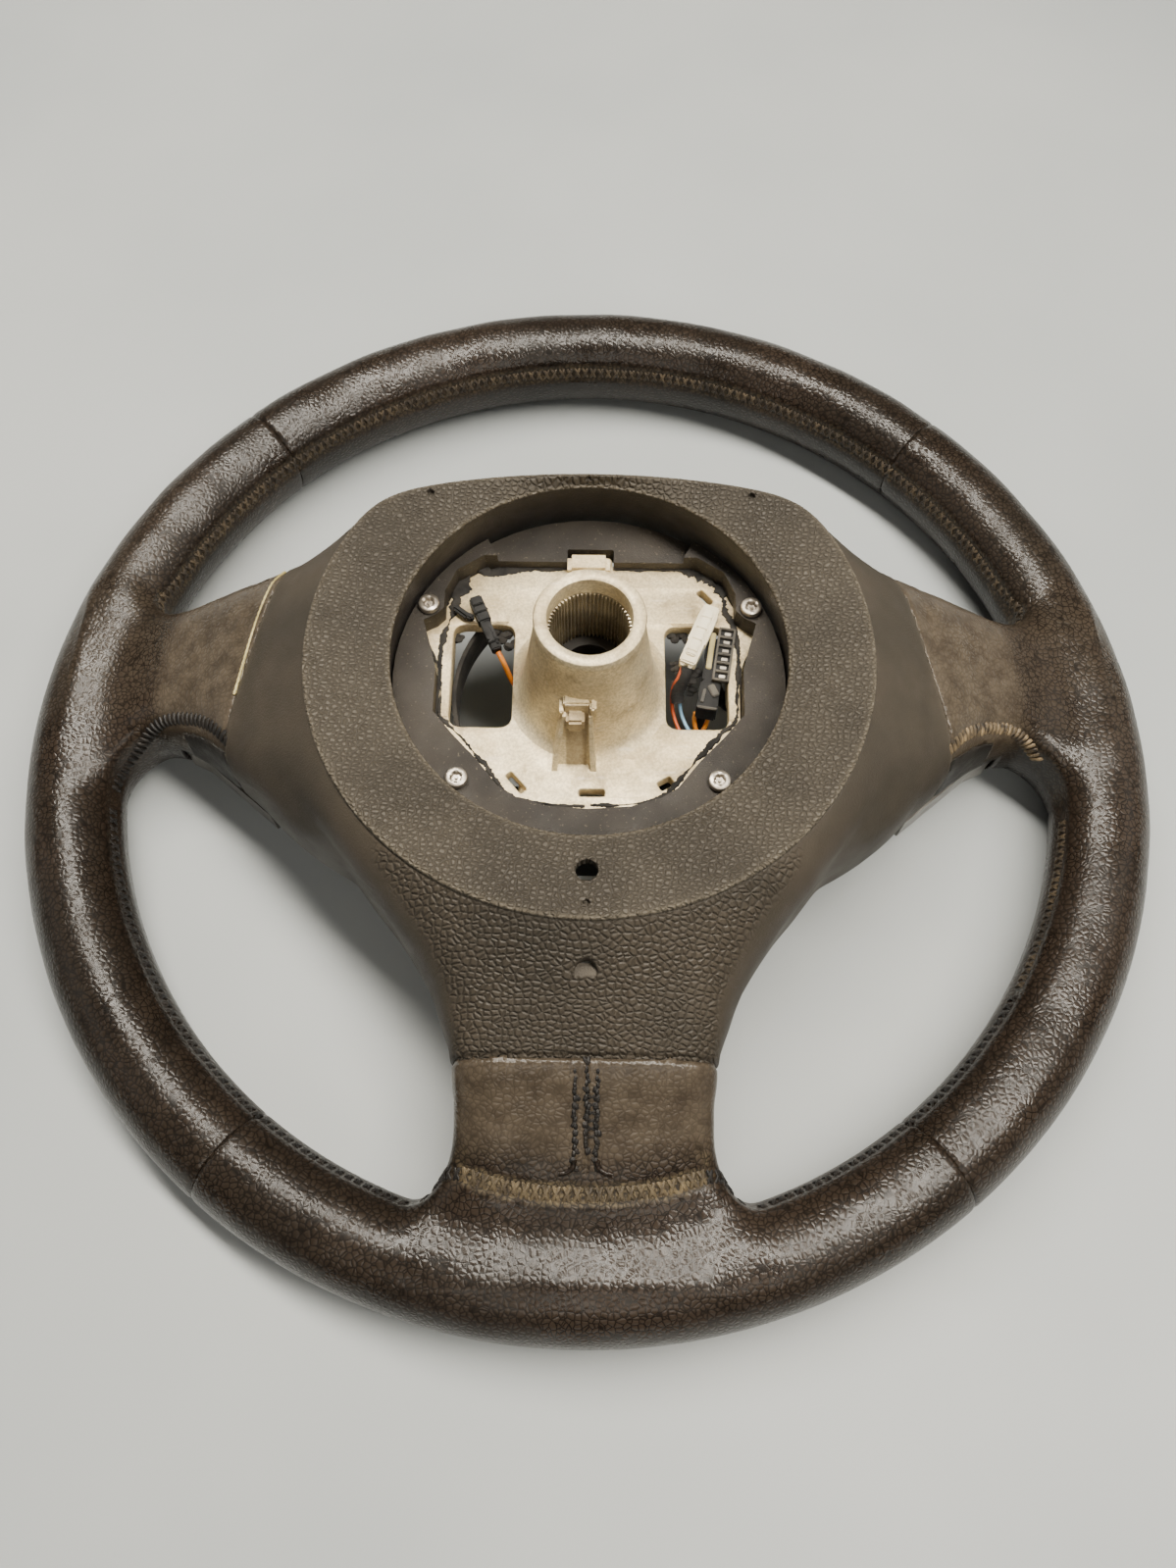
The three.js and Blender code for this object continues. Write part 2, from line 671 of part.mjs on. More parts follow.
function switchHousing() {
  const post = cylinder(2.7, POD_FRONT + 1, 19, 16, ...POD_SCREW);
  const ear = (x0) => box(x0, x0 + 1.4, ROCKER_AXIS.y - 3.5, ROCKER_AXIS.y + 3.5, POD_FRONT + 1, 15.2);
  const shell = prism(POD_OUTLINE, POD_FRONT, POD_BACK)
    .subtract(prism(inset(POD_OUTLINE, POD_WALL), POD_FRONT + POD_WALL, POD_BACK + 1))
    .add(union([post, ear(ROCKER.x0 - 2.6), ear(ROCKER.x1 + 1.2)]));
  const hole = ({ x0, x1, y0, y1 }, clear, corner) => {
    const outline = roundedRect(x0 - BUTTON_GAP, x1 + BUTTON_GAP, y0 - clear, y1 + clear, corner);
    return prism(outline, POD_FRONT - 1, POD_FRONT + 2.5);
  };
  const pivot = solidOf(new THREE.CylinderGeometry(1.7, 1.7, 40, 12).rotateZ(Math.PI / 2)
    .translate((ROCKER.x0 + ROCKER.x1) / 2, ROCKER_AXIS.y, ROCKER_AXIS.z));
  const buttonHoles = hole(BUTTONS.upper, BUTTON_GAP, 2.4).add(hole(BUTTONS.lower, BUTTON_GAP, 2.4));
  return shell
    .subtract(hole(ROCKER, 0.9, 1))
    .subtract(buttonHoles)
    .subtract(pivot.intersect(box(ROCKER.x0 - 4, ROCKER.x1 + 4, 5, 25, POD_FRONT + 2.2, 20)))
    .subtract(cylinder(1.4, 12.5, 20, 12, ...POD_SCREW));
}

function pushButton({ x0, x1, y0, y1 }) {
  const cap = prism(roundedRect(x0, x1, y0, y1, 2), BUTTON_FACE, 13.5);
  const flangeFace = POD_FRONT + POD_WALL + GAP;
  const flange = prism(roundedRect(x0 - 1.2, x1 + 1.2, y0 - 1.2, y1 + 1.2, 2), flangeFace, 13.5);
  const hollow = [[0, BUTTON_FACE - 1], [5, BUTTON_FACE - 1], [5, BUTTON_FACE + 0.1], [0, BUTTON_FACE + 0.7]];
  const dish = turned(hollow, 12, (x0 + x1) / 2, (y0 + y1) / 2);
  return cap.add(flange).subtract(dish);
}

function rocker() {
  const { x0, x1, y0, y1 } = ROCKER;
  const middle = (y0 + y1) / 2;
  const side = new THREE.Shape();
  side.moveTo(y0, BUTTON_FACE);
  side.lineTo(middle - 4, BUTTON_FACE + 1);
  side.lineTo(middle + 4, BUTTON_FACE + 1);
  side.lineTo(y1, BUTTON_FACE);
  side.lineTo(y1, 12);
  side.lineTo(middle + 4, 15);
  side.lineTo(middle - 4, 15);
  side.lineTo(y0, 12);
  side.closePath();
  const geometry = new THREE.ExtrudeGeometry(side, { depth: x1 - x0, bevelEnabled: false });
  geometry.rotateX(Math.PI / 2).rotateZ(Math.PI / 2);
  geometry.translate(x0, 0, 0);
  const trunnion = solidOf(new THREE.CylinderGeometry(1.3, 1.3, x1 - x0 + 5, 12).rotateZ(Math.PI / 2)
    .translate((x0 + x1) / 2, ROCKER_AXIS.y, ROCKER_AXIS.z));
  return solidOf(geometry).add(trunnion);
}

function switchBoard() {
  const screwHole = cylinder(1.5, 18, 22, 12, ...POD_SCREW);
  return prism(inset(POD_OUTLINE, POD_WALL + 0.6), 19.3, 20.9).subtract(screwHole);
}

function podScrew() {
  const profile = [[0, 13.2], [1.1, 13.2], [1.1, 21.2], [2.6, 21.2], [2.6, 22.4], [1.8, 23], [0, 23]];
  return turned(profile, 16, ...POD_SCREW);
}

function spokeTrim() {
  const tip = POD_OUTER + 0.1;
  const outline = [[100, -10.6], [126.3, -10.6], [tip, -4.6], [tip, -7], [132, -10.4], [107, -31], [100, -26]];
  const flange = [[tip, -7], [132, -10.4], [107, -31], [105.6, -29.2], [131, -9], [tip, -5.6]];
  return prism(outline, 10, 13).add(prism(flange, 10, 22));
}

// ---------------------------------------------------------------- assembly
add("armature_casting", armature(), castMetal);
add("rim_foam", rimFoam(), foam);
add("leather_top", topPanel(), leather);
const rightLeather = sidePanel();
add("leather_right", rightLeather, leather);
add("leather_left", mirrored(rightLeather), leather);
add("leather_bottom", lowerPanel(), leather);
add("rear_cover", rearCover(), coverPlastic);
add("well_floor_skin", wellFloor(), skinPlastic);
SCREWS.forEach((place, i) => add("cover_screw_" + (i + 1), coverScrew(place), screwSteel));

add("small_connector", smallConnector(), blackPlastic);
add("ivory_connector", ivoryConnector(), ivoryPlastic);
add("multi_pin_connector", multiPinConnector(), blackPlastic);
add(
  "small_connector_lead",
  tube([[-29.3, 10.4, 61.4], [-27.6, 7.6, 60], [-25.8, 4.4, 54], [-25.2, 1, 47], [-27, -6, 42], [-38, -10, 39],
    [-54, -2, 37.4], [-70, 7, 34], [-79, 11, 29], [-83.6, 12, 24.6], [-84, 12, 21.4]], 1, 8, 20),
  orangeWire,
);
add(
  "blue_lead",
  tube([[32, 4.6, 61.4], [31, 2.4, 60], [29.5, 0.4, 54], [30, -4, 48.5], [33.4, -10.4, 46], [40, -15, 42],
    [56, -10, 34], [70, -1, 28.8], [78, 2, 27.2], [82.6, 3.4, 24.6], [83, 3.4, 21.4]], 0.9, 8, 20),
  blueWire,
);
add(
  "red_lead",
  tube([[29.6, 5.5, 61.4], [28.6, 3, 60], [26.9, 1, 54], [27.6, -4, 47.5], [30.6, -10.6, 44.6], [37, -17.4, 39.6],
    [54, -14.4, 31.5], [69, -5, 28.2], [77, -2.4, 27], [82.6, -1.6, 24.6], [83, -1.5, 21.4]], 0.9, 8, 20),
  redWire,
);
add(
  "jumper_lead",
  tube([[34.9, -3.4, 49.6], [34.8, -3.5, 46.4], [36, -3.8, 43.6], [38.2, -3.9, 43.6], [39.4, -4, 46.4],
    [39.4, -4.1, 49.6]], 0.9, 8, 12),
  orangeWire,
);
add(
  "harness_right",
  tube([[41.2, 13.5, 48.2], [41.2, 13.4, 45], [44, 8, 38], [54, 4, 33.5], [68, 9, 30.5], [80, 12.4, 28.8],
    [87.4, 13, 25.4], [88, 13, 21.4]], 2.4, 8, 16),
  sleeve,
);
add(
  "harness_left",
  tube([[38.8, 5, 48.2], [38.8, 4.8, 44], [37, -4, 36], [28, -20, 33.5], [10, -30, 33.5], [-10, -31, 33.5],
    [-30, -24, 33.5], [-50, -8, 32], [-68, 2, 30.5], [-80, 6, 28.8], [-87.4, 7, 25.4], [-88, 7, 21.4]], 2.4, 8, 26),
  sleeve,
);
add(
  "airbag_retaining_spring",
  tube([[-27, -33, 52], [-27.2, -33.4, 48.6], [-25, -36.6, 46.6], [-18, -40.4, 46], [0, -42, 46], [18, -40.4, 46],
    [25, -36.6, 46.6], [27.2, -33.4, 48.6], [27, -33, 52]], 0.9, 8, 20),
  springSteel,
);

for (const side of ["right", "left"]) {
  const placed = (solid) => (side === "left" ? mirrored(solid) : solid);
  add(side + "_switch_housing", placed(switchHousing()), blackPlastic);
  add(side + "_rocker", placed(rocker()), buttonPlastic);
  add(side + "_upper_button", placed(pushButton(BUTTONS.upper)), buttonPlastic);
  add(side + "_lower_button", placed(pushButton(BUTTONS.lower)), buttonPlastic);
  add(side + "_switch_board", placed(switchBoard()), boardGreen);
  add(side + "_switch_screw", placed(podScrew()), screwSteel);
  add(side + "_spoke_trim", placed(spokeTrim()), silverTrim);
}

export default wheel;
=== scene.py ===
# The steering wheel's visual model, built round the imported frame. Lengths are worked in millimetres
# and scaled to metres when a mesh is made.
import json
import math
import random

import bmesh
import bpy
import numpy as np
from mathutils import Matrix, Vector

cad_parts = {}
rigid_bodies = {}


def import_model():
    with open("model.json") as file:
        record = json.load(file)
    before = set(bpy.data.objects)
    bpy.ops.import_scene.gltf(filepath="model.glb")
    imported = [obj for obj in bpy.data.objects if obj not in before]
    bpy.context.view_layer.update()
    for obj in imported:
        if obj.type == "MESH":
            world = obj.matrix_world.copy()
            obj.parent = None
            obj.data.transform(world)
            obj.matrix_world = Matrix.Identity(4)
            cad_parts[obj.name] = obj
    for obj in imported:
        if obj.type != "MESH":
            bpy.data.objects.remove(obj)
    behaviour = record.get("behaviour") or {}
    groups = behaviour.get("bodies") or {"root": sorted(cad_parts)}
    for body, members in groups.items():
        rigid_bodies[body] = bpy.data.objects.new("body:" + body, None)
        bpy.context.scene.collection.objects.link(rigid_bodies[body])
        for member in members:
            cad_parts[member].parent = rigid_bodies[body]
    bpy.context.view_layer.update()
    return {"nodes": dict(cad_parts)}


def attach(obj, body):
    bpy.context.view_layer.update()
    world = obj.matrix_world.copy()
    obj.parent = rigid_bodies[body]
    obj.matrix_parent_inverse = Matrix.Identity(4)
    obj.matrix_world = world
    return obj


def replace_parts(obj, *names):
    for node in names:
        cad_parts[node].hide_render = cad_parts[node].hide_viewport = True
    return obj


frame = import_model()
MM = 0.001

# ---------------------------------------------------------------- dimensions shared with the frame
RIM_RADIUS = 176.7
RIM_HALF_WIDTH = 15.8
RIM_HALF_HEIGHT = 17.0
UPPER_SEAM = 45.3
LOWER_SEAM = -52.8
PLATEAU_RADIUS = 85.4
PLATEAU_TOP = 85.0
PLATEAU_CROWN = 63.0
CROWN_DROP = 0.0019
LIP = 1.6
WELL_RADIUS = 62.2
WALL_FOOT = 60.0
PAD_TOP = 65.4
COVER_EDGE = 36.0
COVER_WALL = 2.4
WING_SLOPE = 0.85
LOWER_SEAM_Y = 117.3
SQUARENESS = 2 / 0.55
RIM_MEAN_HALF = 16.4
BAND_TURN = 158
SEAM_TOP_X, SEAM_TOP_Y, SEAM_SLOPE = 99.8, 44, 0.2456
LEATHER_WALL = 1.2
SPOKE_REACH = 150
LOWER_SPOKE_HALF = 60
TRIM_END = 134
TRIM_FOOT = 25.5
DIMPLE_Y = -97

SIDE_SPOKE = [
    (56, -52, 36, 16, 72), (66, -59, 41, 16, 74), (76, -58.4, 45, 16, 74.5), (86, -52, 46, 15.5, 72),
    (96, -44, 45.5, 15, 68), (106, -33, 44.5, 14, 63.5), (116, -23.5, 43.5, 12.5, 58.5),
    (128, -14, 42, 10, 51), (139, -8.5, 40.5, 8, 44.5), (148, -6.5, 41, 6, 39.5), (155, -11, 45.5, 4.5, 36.3),
    (161, -18, 52, 3.6, 34.6), (167, -25, 58, 3, 33), (172, -25, 52, 2.6, 32),
]
LOWER_SPOKE = [
    (96, -42, 42, 30, 70), (108, -40, 40, 27, 64), (117.3, -38.6, 38.6, 23, 58.4),
    (128, -38.2, 38.2, 17, 51.6), (138, -38.6, 38.6, 11, 44.6), (145, -40.5, 40.5, 7.5, 40),
    (151, -44.6, 44.6, 5.2, 36.8), (157, -50, 50, 3.8, 34.8), (164, -53, 53, 3, 33.2),
    (171, -45, 45, 2.6, 32),
]
HUB_OUTLINE = [
    (0, 65), (14, 64.6), (28, 63.4), (41, 61.4), (52, 58.6), (61, 55.2), (68.5, 51), (75, 46), (82, 43),
    (91, 42), (99, 42.6), (107, 43), (112, 40), (113, 6), (112.5, -24), (110, -29.5), (101.9, -35.1),
    (93, -41), (85, -47.2), (77.6, -54.2), (71, -62), (64.5, -70.4), (57.7, -78.5), (50.8, -88.5),
    (45.4, -98), (42, -107), (38.6, -113.5), (35, -118), (0, -118),
]


def seam_x(y):
    return SEAM_TOP_X + (SEAM_TOP_Y - y) * SEAM_SLOPE


def smooth_min(a, b, k):
    h = np.clip(0.5 + 0.5 * (b - a) / k, 0, 1)
    return b * (1 - h) + a * h - k * h * (1 - h)


def smooth_max(a, b, k):
    return -smooth_min(-a, -b, k)


def plateau_edge(turn):
    c, s = np.cos(turn), np.sin(turn)
    k = np.maximum(CROWN_DROP * c * c, 1e-7)
    up = np.maximum(s, 0.3)
    crown = (-up + np.sqrt(up * up + 4 * k * PLATEAU_CROWN)) / (2 * k)
    limited = (PLATEAU_RADIUS ** -24.0 + crown ** -24.0) ** (-1 / 24)
    return np.where(s <= 0.3, PLATEAU_RADIUS, limited)


# ---------------------------------------------------------------- the body's surface as a field
def dense_table(rows, step=0.5, spread=5):
    """The spoke's stations, resampled and smoothed so that its flanks carry no kinks."""
    rows = np.array(rows, float)
    s = np.arange(rows[0, 0], rows[-1, 0] + step, step)
    kernel = np.exp(-0.5 * (np.arange(-14, 15) / spread) ** 2)
    kernel /= kernel.sum()
    columns = []
    for k in range(1, 5):
        values = np.interp(s, rows[:, 0], rows[:, k])
        start, end = 2 * values[0] - values[14:0:-1], 2 * values[-1] - values[-2:-16:-1]
        columns.append(np.convolve(np.concatenate([start, values, end]), kernel, "valid"))
    return s, columns


SIDE_TABLE = dense_table(SIDE_SPOKE)
LOWER_TABLE = dense_table(LOWER_SPOKE)


def spoke_field(table, s, across, z):
    stations, (low, high, front, rear) = table
    low, high, front, rear = (np.interp(s, stations, column) for column in (low, high, front, rear))
    half_width, half_depth = (high - low) / 2, (rear - front) / 2
    a = np.abs(across - (low + high) / 2) / half_width
    b = np.abs(z - (front + rear) / 2) / half_depth
    p = SQUARENESS
    g = np.maximum((a ** p + b ** p) ** (1 / p), 0.05)
    slope = np.sqrt(((a / g) ** (p - 1) / half_width) ** 2 + ((b / g) ** (p - 1) / half_depth) ** 2)
    value = (g - 1) / np.maximum(slope, 0.004)
    return np.maximum(np.maximum(value, stations[0] - s), s - stations[-1] - 3)


def catmull(points, t):
    """A point on the smooth curve between the middle two of four points."""
    p0, p1, p2, p3 = points
    return 0.5 * (2 * p1 + (p2 - p0) * t + (2 * p0 - 5 * p1 + 4 * p2 - p3) * t * t
                  + (3 * p1 - p0 - 3 * p2 + p3) * t ** 3)


def smooth_loop(points, per=6):
    n = len(points)
    near = [[np.array(points[(i + k) % n], float) for k in (-1, 0, 1, 2)] for i in range(n)]
    return np.array([catmull(four, j / per) for four in near for j in range(per)])


def outline_distance_map(low=-135.0, step=0.5, count=541):
    half = HUB_OUTLINE
    points = smooth_loop(list(half) + [(-x, y) for x, y in half[-2:0:-1]])
    grid = low + step * np.arange(count)
    gx, gy = np.meshgrid(grid, grid, indexing="ij")
    best = np.full(gx.shape, 1e9)
    inside = np.zeros(gx.shape, bool)
    for (x0, y0), (x1, y1) in zip(points, np.roll(points, -1, axis=0)):
        dx, dy = x1 - x0, y1 - y0
        t = np.clip(((gx - x0) * dx + (gy - y0) * dy) / (dx * dx + dy * dy + 1e-12), 0, 1)
        best = np.minimum(best, (gx - x0 - t * dx) ** 2 + (gy - y0 - t * dy) ** 2)
        if y0 != y1:
            crosses = ((y0 > gy) != (y1 > gy)) & (gx < (x1 - x0) * (gy - y0) / (y1 - y0) + x0)
            inside ^= crosses
    distance = np.sqrt(best)
    return np.where(inside, -distance, distance), low, step


OUTLINE_MAP = outline_distance_map()


def outline_distance(x, y):
    table, low, step = OUTLINE_MAP
    top = table.shape[0] - 1.001
    u = np.clip((x - low) / step, 0, top)
    v = np.clip((y - low) / step, 0, top)
    i, j = u.astype(int), v.astype(int)
    f, g = u - i, v - j
    return ((table[i, j] * (1 - f) + table[i + 1, j] * f) * (1 - g)
            + (table[i, j + 1] * (1 - f) + table[i + 1, j + 1] * f) * g)


def free_run(x, y):
    """How far the moulded edge lies outside the plateau in this direction."""
    turn = np.arctan2(y, x)
    edge = plateau_edge(turn)
    return -outline_distance(edge * np.cos(turn), edge * np.sin(turn))


def hub_field(x, y, z):
    turn = np.arctan2(y, x)
    r = np.hypot(x, y)
    beyond = r - plateau_edge(turn)
    top = PLATEAU_TOP - LIP - WING_SLOPE * np.maximum(beyond, 0)
    over = (z - top) * np.where(beyond > 0, 0.762, 1.0)
    rounding = np.clip(free_run(x, y) * 0.9, 2.0, 13.0)
    return np.maximum(smooth_max(over, outline_distance(x, y), rounding), 20 - z)


def field(x, y, z):
    r = np.hypot(x, y)
    q = np.sqrt(((r - RIM_RADIUS) / RIM_HALF_WIDTH) ** 2 + ((z - RIM_HALF_HEIGHT) / RIM_HALF_HEIGHT) ** 2)
    value = (q - 1) * RIM_MEAN_HALF
    value = smooth_min(value, spoke_field(SIDE_TABLE, np.abs(x), y, z), 7.0)
    value = smooth_min(value, spoke_field(LOWER_TABLE, -y, x, z), 7.0)
    near = np.maximum(np.abs(x), np.abs(y)) < 132
    out = value.copy()
    out[near] = smooth_min(value[near], hub_field(x[near], y[near], z[near]), 3.0)
    return out


def surface_net(low, high, step):
    """Quads over the field's zero surface: one point in each cell that the surface passes through."""
    axes = [np.arange(a, b + step, step) for a, b in zip(low, high)]
    gx, gy, gz = np.meshgrid(*axes, indexing="ij")
    v = field(gx.ravel(), gy.ravel(), gz.ravel()).reshape(gx.shape)
    cells = np.array(v.shape) - 1
    total = np.zeros((*cells, 3))
    count = np.zeros(cells)
    quads = []
    for axis in range(3):
        first, second = np.take(v, range(cells[axis]), axis), np.take(v, range(1, cells[axis] + 1), axis)
        where = np.argwhere((first < 0) != (second < 0))
        va, vb = first[tuple(where.T)], second[tuple(where.T)]
        place = where.astype(float)
        place[:, axis] += va / (va - vb)
        one, other = [k for k in range(3) if k != axis]
        ring = []
        ok = np.ones(len(where), bool)
        for du, dv in ((0, 0), (-1, 0), (-1, -1), (0, -1)):
            cell = where.copy()
            cell[:, one] += du
            cell[:, other] += dv
            good = np.all((cell >= 0) & (cell < cells), axis=1)
            ok &= good
            keep = tuple(cell[good].T)
            np.add.at(total, keep, place[good])
            np.add.at(count, keep, 1)
            ring.append(np.ravel_multi_index(np.clip(cell, 0, cells - 1).T, tuple(cells)))
        ring = np.stack(ring, axis=1)
        flip = (va < 0) ^ (axis == 1)
        ring[~flip] = ring[~flip][:, ::-1]
        quads.append(ring[ok])
    used = count.ravel() > 0
    index = np.cumsum(used) - 1
    points = (total.reshape(-1, 3)[used] / count.ravel()[used][:, None]) * step + np.array(low)
    return points, index[np.concatenate(quads)]


def gradient(p, h=0.15):
    x, y, z = p.T
    return np.stack([
        field(x + h, y, z) - field(x - h, y, z),
        field(x, y + h, z) - field(x, y - h, z),
        field(x, y, z + h) - field(x, y, z - h),
    ], axis=1) / (2 * h)


def onto_surface(p, rounds=4):
    for _ in range(rounds):
        g = gradient(p)
        move = field(*p.T)[:, None] * g / np.maximum((g * g).sum(1), 0.05)[:, None]
        length = np.linalg.norm(move, axis=1, keepdims=True)
        p = p - move * np.minimum(1, 1.5 / np.maximum(length, 1e-9))
    return p


def unit(v):
    return v / np.maximum(np.linalg.norm(v, axis=-1, keepdims=True), 1e-9)


# ---------------------------------------------------------------- mesh helpers
scene = bpy.context.scene


def add_object(name, data):
    obj = bpy.data.objects.new(name, data)
    scene.collection.objects.link(obj)
    return obj


def new_mesh(name, points, faces):
    mesh = bpy.data.meshes.new(name)
    mesh.from_pydata([tuple(p) for p in points], [], [tuple(map(int, f)) for f in faces])
    return mesh


def piece_from(name, points, faces, material, body="wheel"):
    mesh = new_mesh(name, np.asarray(points, float) * MM, faces)
    mesh.validate()
    mesh.shade_smooth()
    mesh.materials.append(material)
    obj = add_object(name, mesh)
    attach(obj, body)
    return obj


# ---------------------------------------------------------------- node materials
class Shade:
    """A small builder of node materials on one Principled shader."""

    def __init__(self, name):
        self.material = bpy.data.materials.new(name)
        self.material.use_nodes = True
        self.tree = self.material.node_tree
        self.tree.nodes.clear()
        self.shader = self.add("ShaderNodeBsdfPrincipled")
        self.add("ShaderNodeOutputMaterial", {0: self.shader.outputs[0]})
        self.where = self.add("ShaderNodeTexCoord").outputs["Object"]

    def add(self, kind, inputs=None, **settings):
        node = self.tree.nodes.new(kind)
        for key, value in settings.items():
            setattr(node, key, value)
        return self.fill(node, inputs or {})

    def fill(self, node, inputs):
        """Gives a node's inputs plain values, or links them to other nodes' outputs."""
        for key, value in inputs.items():
            if isinstance(value, bpy.types.NodeSocket):
                self.tree.links.new(value, node.inputs[key])
            else:
                node.inputs[key].default_value = value
        return node

    def set(self, **values):
        self.fill(self.shader, {key.replace("_", " "): value for key, value in values.items()})

    def noise(self, scale, detail=3.0, rough=0.55, at=None, distortion=0.0):
        inputs = {"Vector": at or self.where, "Scale": scale, "Detail": detail, "Roughness": rough,
                  "Distortion": distortion}
        return self.add("ShaderNodeTexNoise", inputs).outputs["Fac"]

    def cells(self, scale, feature="DISTANCE_TO_EDGE", at=None, randomness=1.0, sides="3D"):
        inputs = {"Vector": at or self.where, "Scale": scale, "Randomness": randomness}
        node = self.add("ShaderNodeTexVoronoi", feature=feature, voronoi_dimensions=sides)
        return self.fill(node, inputs).outputs["Distance"]

    def wobble(self, scale, amount):
        """The object's own position, pushed about by noise."""
        inputs = {"Vector": self.where, "Scale": scale, "Detail": 2.0}
        colour = self.add("ShaderNodeTexNoise", inputs).outputs["Color"]
        centred = self.vector("SUBTRACT", {0: colour, 1: (0.5, 0.5, 0.5)})
        return self.vector("ADD", {0: self.where, 1: self.vector("SCALE", {0: centred, "Scale": amount})})

    def vector(self, operation, inputs):
        return self.add("ShaderNodeVectorMath", inputs, operation=operation).outputs["Vector"]

    def stretch(self, at, scale, turn=0.0):
        inputs = {"Vector": at, "Scale": scale, "Rotation": (0, 0, turn)}
        return self.add("ShaderNodeMapping", inputs).outputs[0]

    def math(self, operation, a, b=0.0, clamp=False):
        return self.add("ShaderNodeMath", {0: a, 1: b}, operation=operation, use_clamp=clamp).outputs[0]

    def times(self, a, b, clamp=False):
        return self.math("MULTIPLY", a, b, clamp)

    def step(self, value, low, high, to_low=0.0, to_high=1.0):
        inputs = {"Value": value, "From Min": low, "From Max": high, "To Min": to_low, "To Max": to_high}
        return self.add("ShaderNodeMapRange", inputs, interpolation_type="SMOOTHSTEP").outputs[0]

    def patches(self, scale, detail, low=0.3, high=0.7, to=(0.0, 1.0), rough=0.55):
        """Noise pushed out towards its two ends."""
        return self.step(self.noise(scale, detail, rough), low, high, *to)

    def mix(self, factor, a, b):
        inputs = {"Factor": factor, "A": a, "B": b}
        return self.add("ShaderNodeMix", inputs, data_type="RGBA").outputs["Result"]

    def tint(self, base, mask, share, colour):
        """The base, with a share of another colour where the mask allows it."""
        return self.mix(self.times(mask, share), base, tone(*colour))

    def attribute(self, name):
        return self.add("ShaderNodeAttribute", attribute_name=name).outputs["Fac"]

    def axis_distance(self):
        """The distance from the wheel's axis, and the plain x, y and z."""
        x, y, z = self.add("ShaderNodeSeparateXYZ", {0: self.where}).outputs
        return self.math("SQRT", self.math("ADD", self.times(x, x), self.times(y, y))), x, y, z

    def bump(self, height, distance, strength=1.0, over=None):
        inputs = {"Height": height, "Distance": distance, "Strength": strength}
        if over is not None:
            inputs["Normal"] = over
        return self.add("ShaderNodeBump", inputs).outputs[0]


def tone(*colour):
    """A colour given as it looks on a screen, 0 to 255."""
    shares = [c / 255 for c in colour]
    return (*[s / 12.92 if s <= 0.04045 else ((s + 0.055) / 1.055) ** 2.4 for s in shares], 1.0)


def leather_material():
    m = Shade("worn_leather")
    edge = m.cells(560, at=m.wobble(90, 0.003))
    height = m.math("ADD", m.step(edge, 0.0, 0.42), m.times(m.noise(2200, 3.0, 0.6), 0.2))
    soft = m.bump(m.noise(38, 2.0), 0.004, 0.3)
    worn_and_sheen, dust = m.attribute("wear_and_sheen"), m.attribute("stitch_band")
    base = m.mix(m.patches(17, 4.0, 0.34, rough=0.6), tone(27, 21, 16), tone(45, 36, 29))
    base = m.tint(base, worn_and_sheen, m.patches(160, 4.0, 0.25, to=(0.45, 1.0)), (86, 77, 65))
    dusty = m.mix(m.patches(900, 3.0), tone(54, 46, 34), tone(108, 96, 72))
    base = m.mix(m.times(dust, m.patches(420, 3.0, 0.2, 0.6), clamp=True), base, dusty)
    # Painted shade: the grain's creases are painted near black, less so where the leather is worn.
    crease_shade = m.times(m.step(edge, 0.0, 0.16, 0.8, 0.0), m.step(worn_and_sheen, 0.2, 0.9, 1.0, 0.35))
    rough = m.patches(45, 3.0, to=(0.24, 0.34))
    m.set(Base_Color=m.mix(crease_shade, base, tone(9, 7, 5)), Specular_IOR_Level=0.34,
          Normal=m.bump(height, 0.00012, 0.7, over=soft),
          Roughness=m.math("ADD", rough, m.times(dust, 0.45), clamp=True))
    return m.material


def cover_material(name, scale, relief, low, high, masked=False):
    """Grained moulded plastic; where masked, the coarse grain keeps to the flat middle of the tongue."""
    m = Shade(name)
    at = m.stretch(m.wobble(200, 0.0012), (0.8, 1.12, 1.0), 0.12)
    cell = m.cells(scale, at=at, randomness=0.85, sides="2D")
    grit = m.noise(3800, 2.0)
    height = m.math("ADD", m.step(cell, 0.0, 0.34), m.times(grit, 0.15))
    # Painted shade: the grain's creases are painted darker.
    crease_shade = m.step(cell, 0.0, 0.16, 1.0, 0.0)
    if masked:
        mask = m.attribute("coarse")
        fine = m.math("ADD", m.times(m.noise(1500, 3.0, 0.6), 0.5), m.times(grit, 0.25))
        height = m.math("ADD", m.times(height, mask), m.times(fine, m.math("SUBTRACT", 1.0, mask)))
        crease_shade = m.times(mask, crease_shade)
    base = m.mix(m.patches(26, 5.0, 0.3, 0.72, rough=0.62), tone(*low), tone(*high))
    base = m.tint(base, crease_shade, 0.5, (36, 33, 28))
    # Lighter where painted: rubbed wear, and on the plateau's lips also a painted highlight.
    base = m.tint(base, m.attribute("wear_and_sheen"), m.patches(240, 3.0, to=(0.4, 1.0)), (150, 140, 120))
    base = m.tint(base, m.patches(260, 6.0, 0.66, 0.74, rough=0.75), 0.3, (122, 112, 92))
    m.set(Normal=m.bump(height, relief), Base_Color=base, Roughness=m.patches(60, 3.0, to=(0.5, 0.64)),
          Specular_IOR_Level=0.38)
    return m.material


def wall_material():
    m = Shade("collar_wall_plastic")
    base = m.mix(m.noise(30, 4.0), tone(24, 21, 19), tone(44, 39, 35))
    m.set(Normal=m.bump(m.noise(1800, 3.0, 0.7), 0.0004, 0.8),
          Base_Color=m.tint(base, m.patches(1300, 1.0, 0.72, 0.76), 0.5, (110, 100, 84)),
          Roughness=m.patches(90, 3.0, to=(0.42, 0.6)))
    return m.material


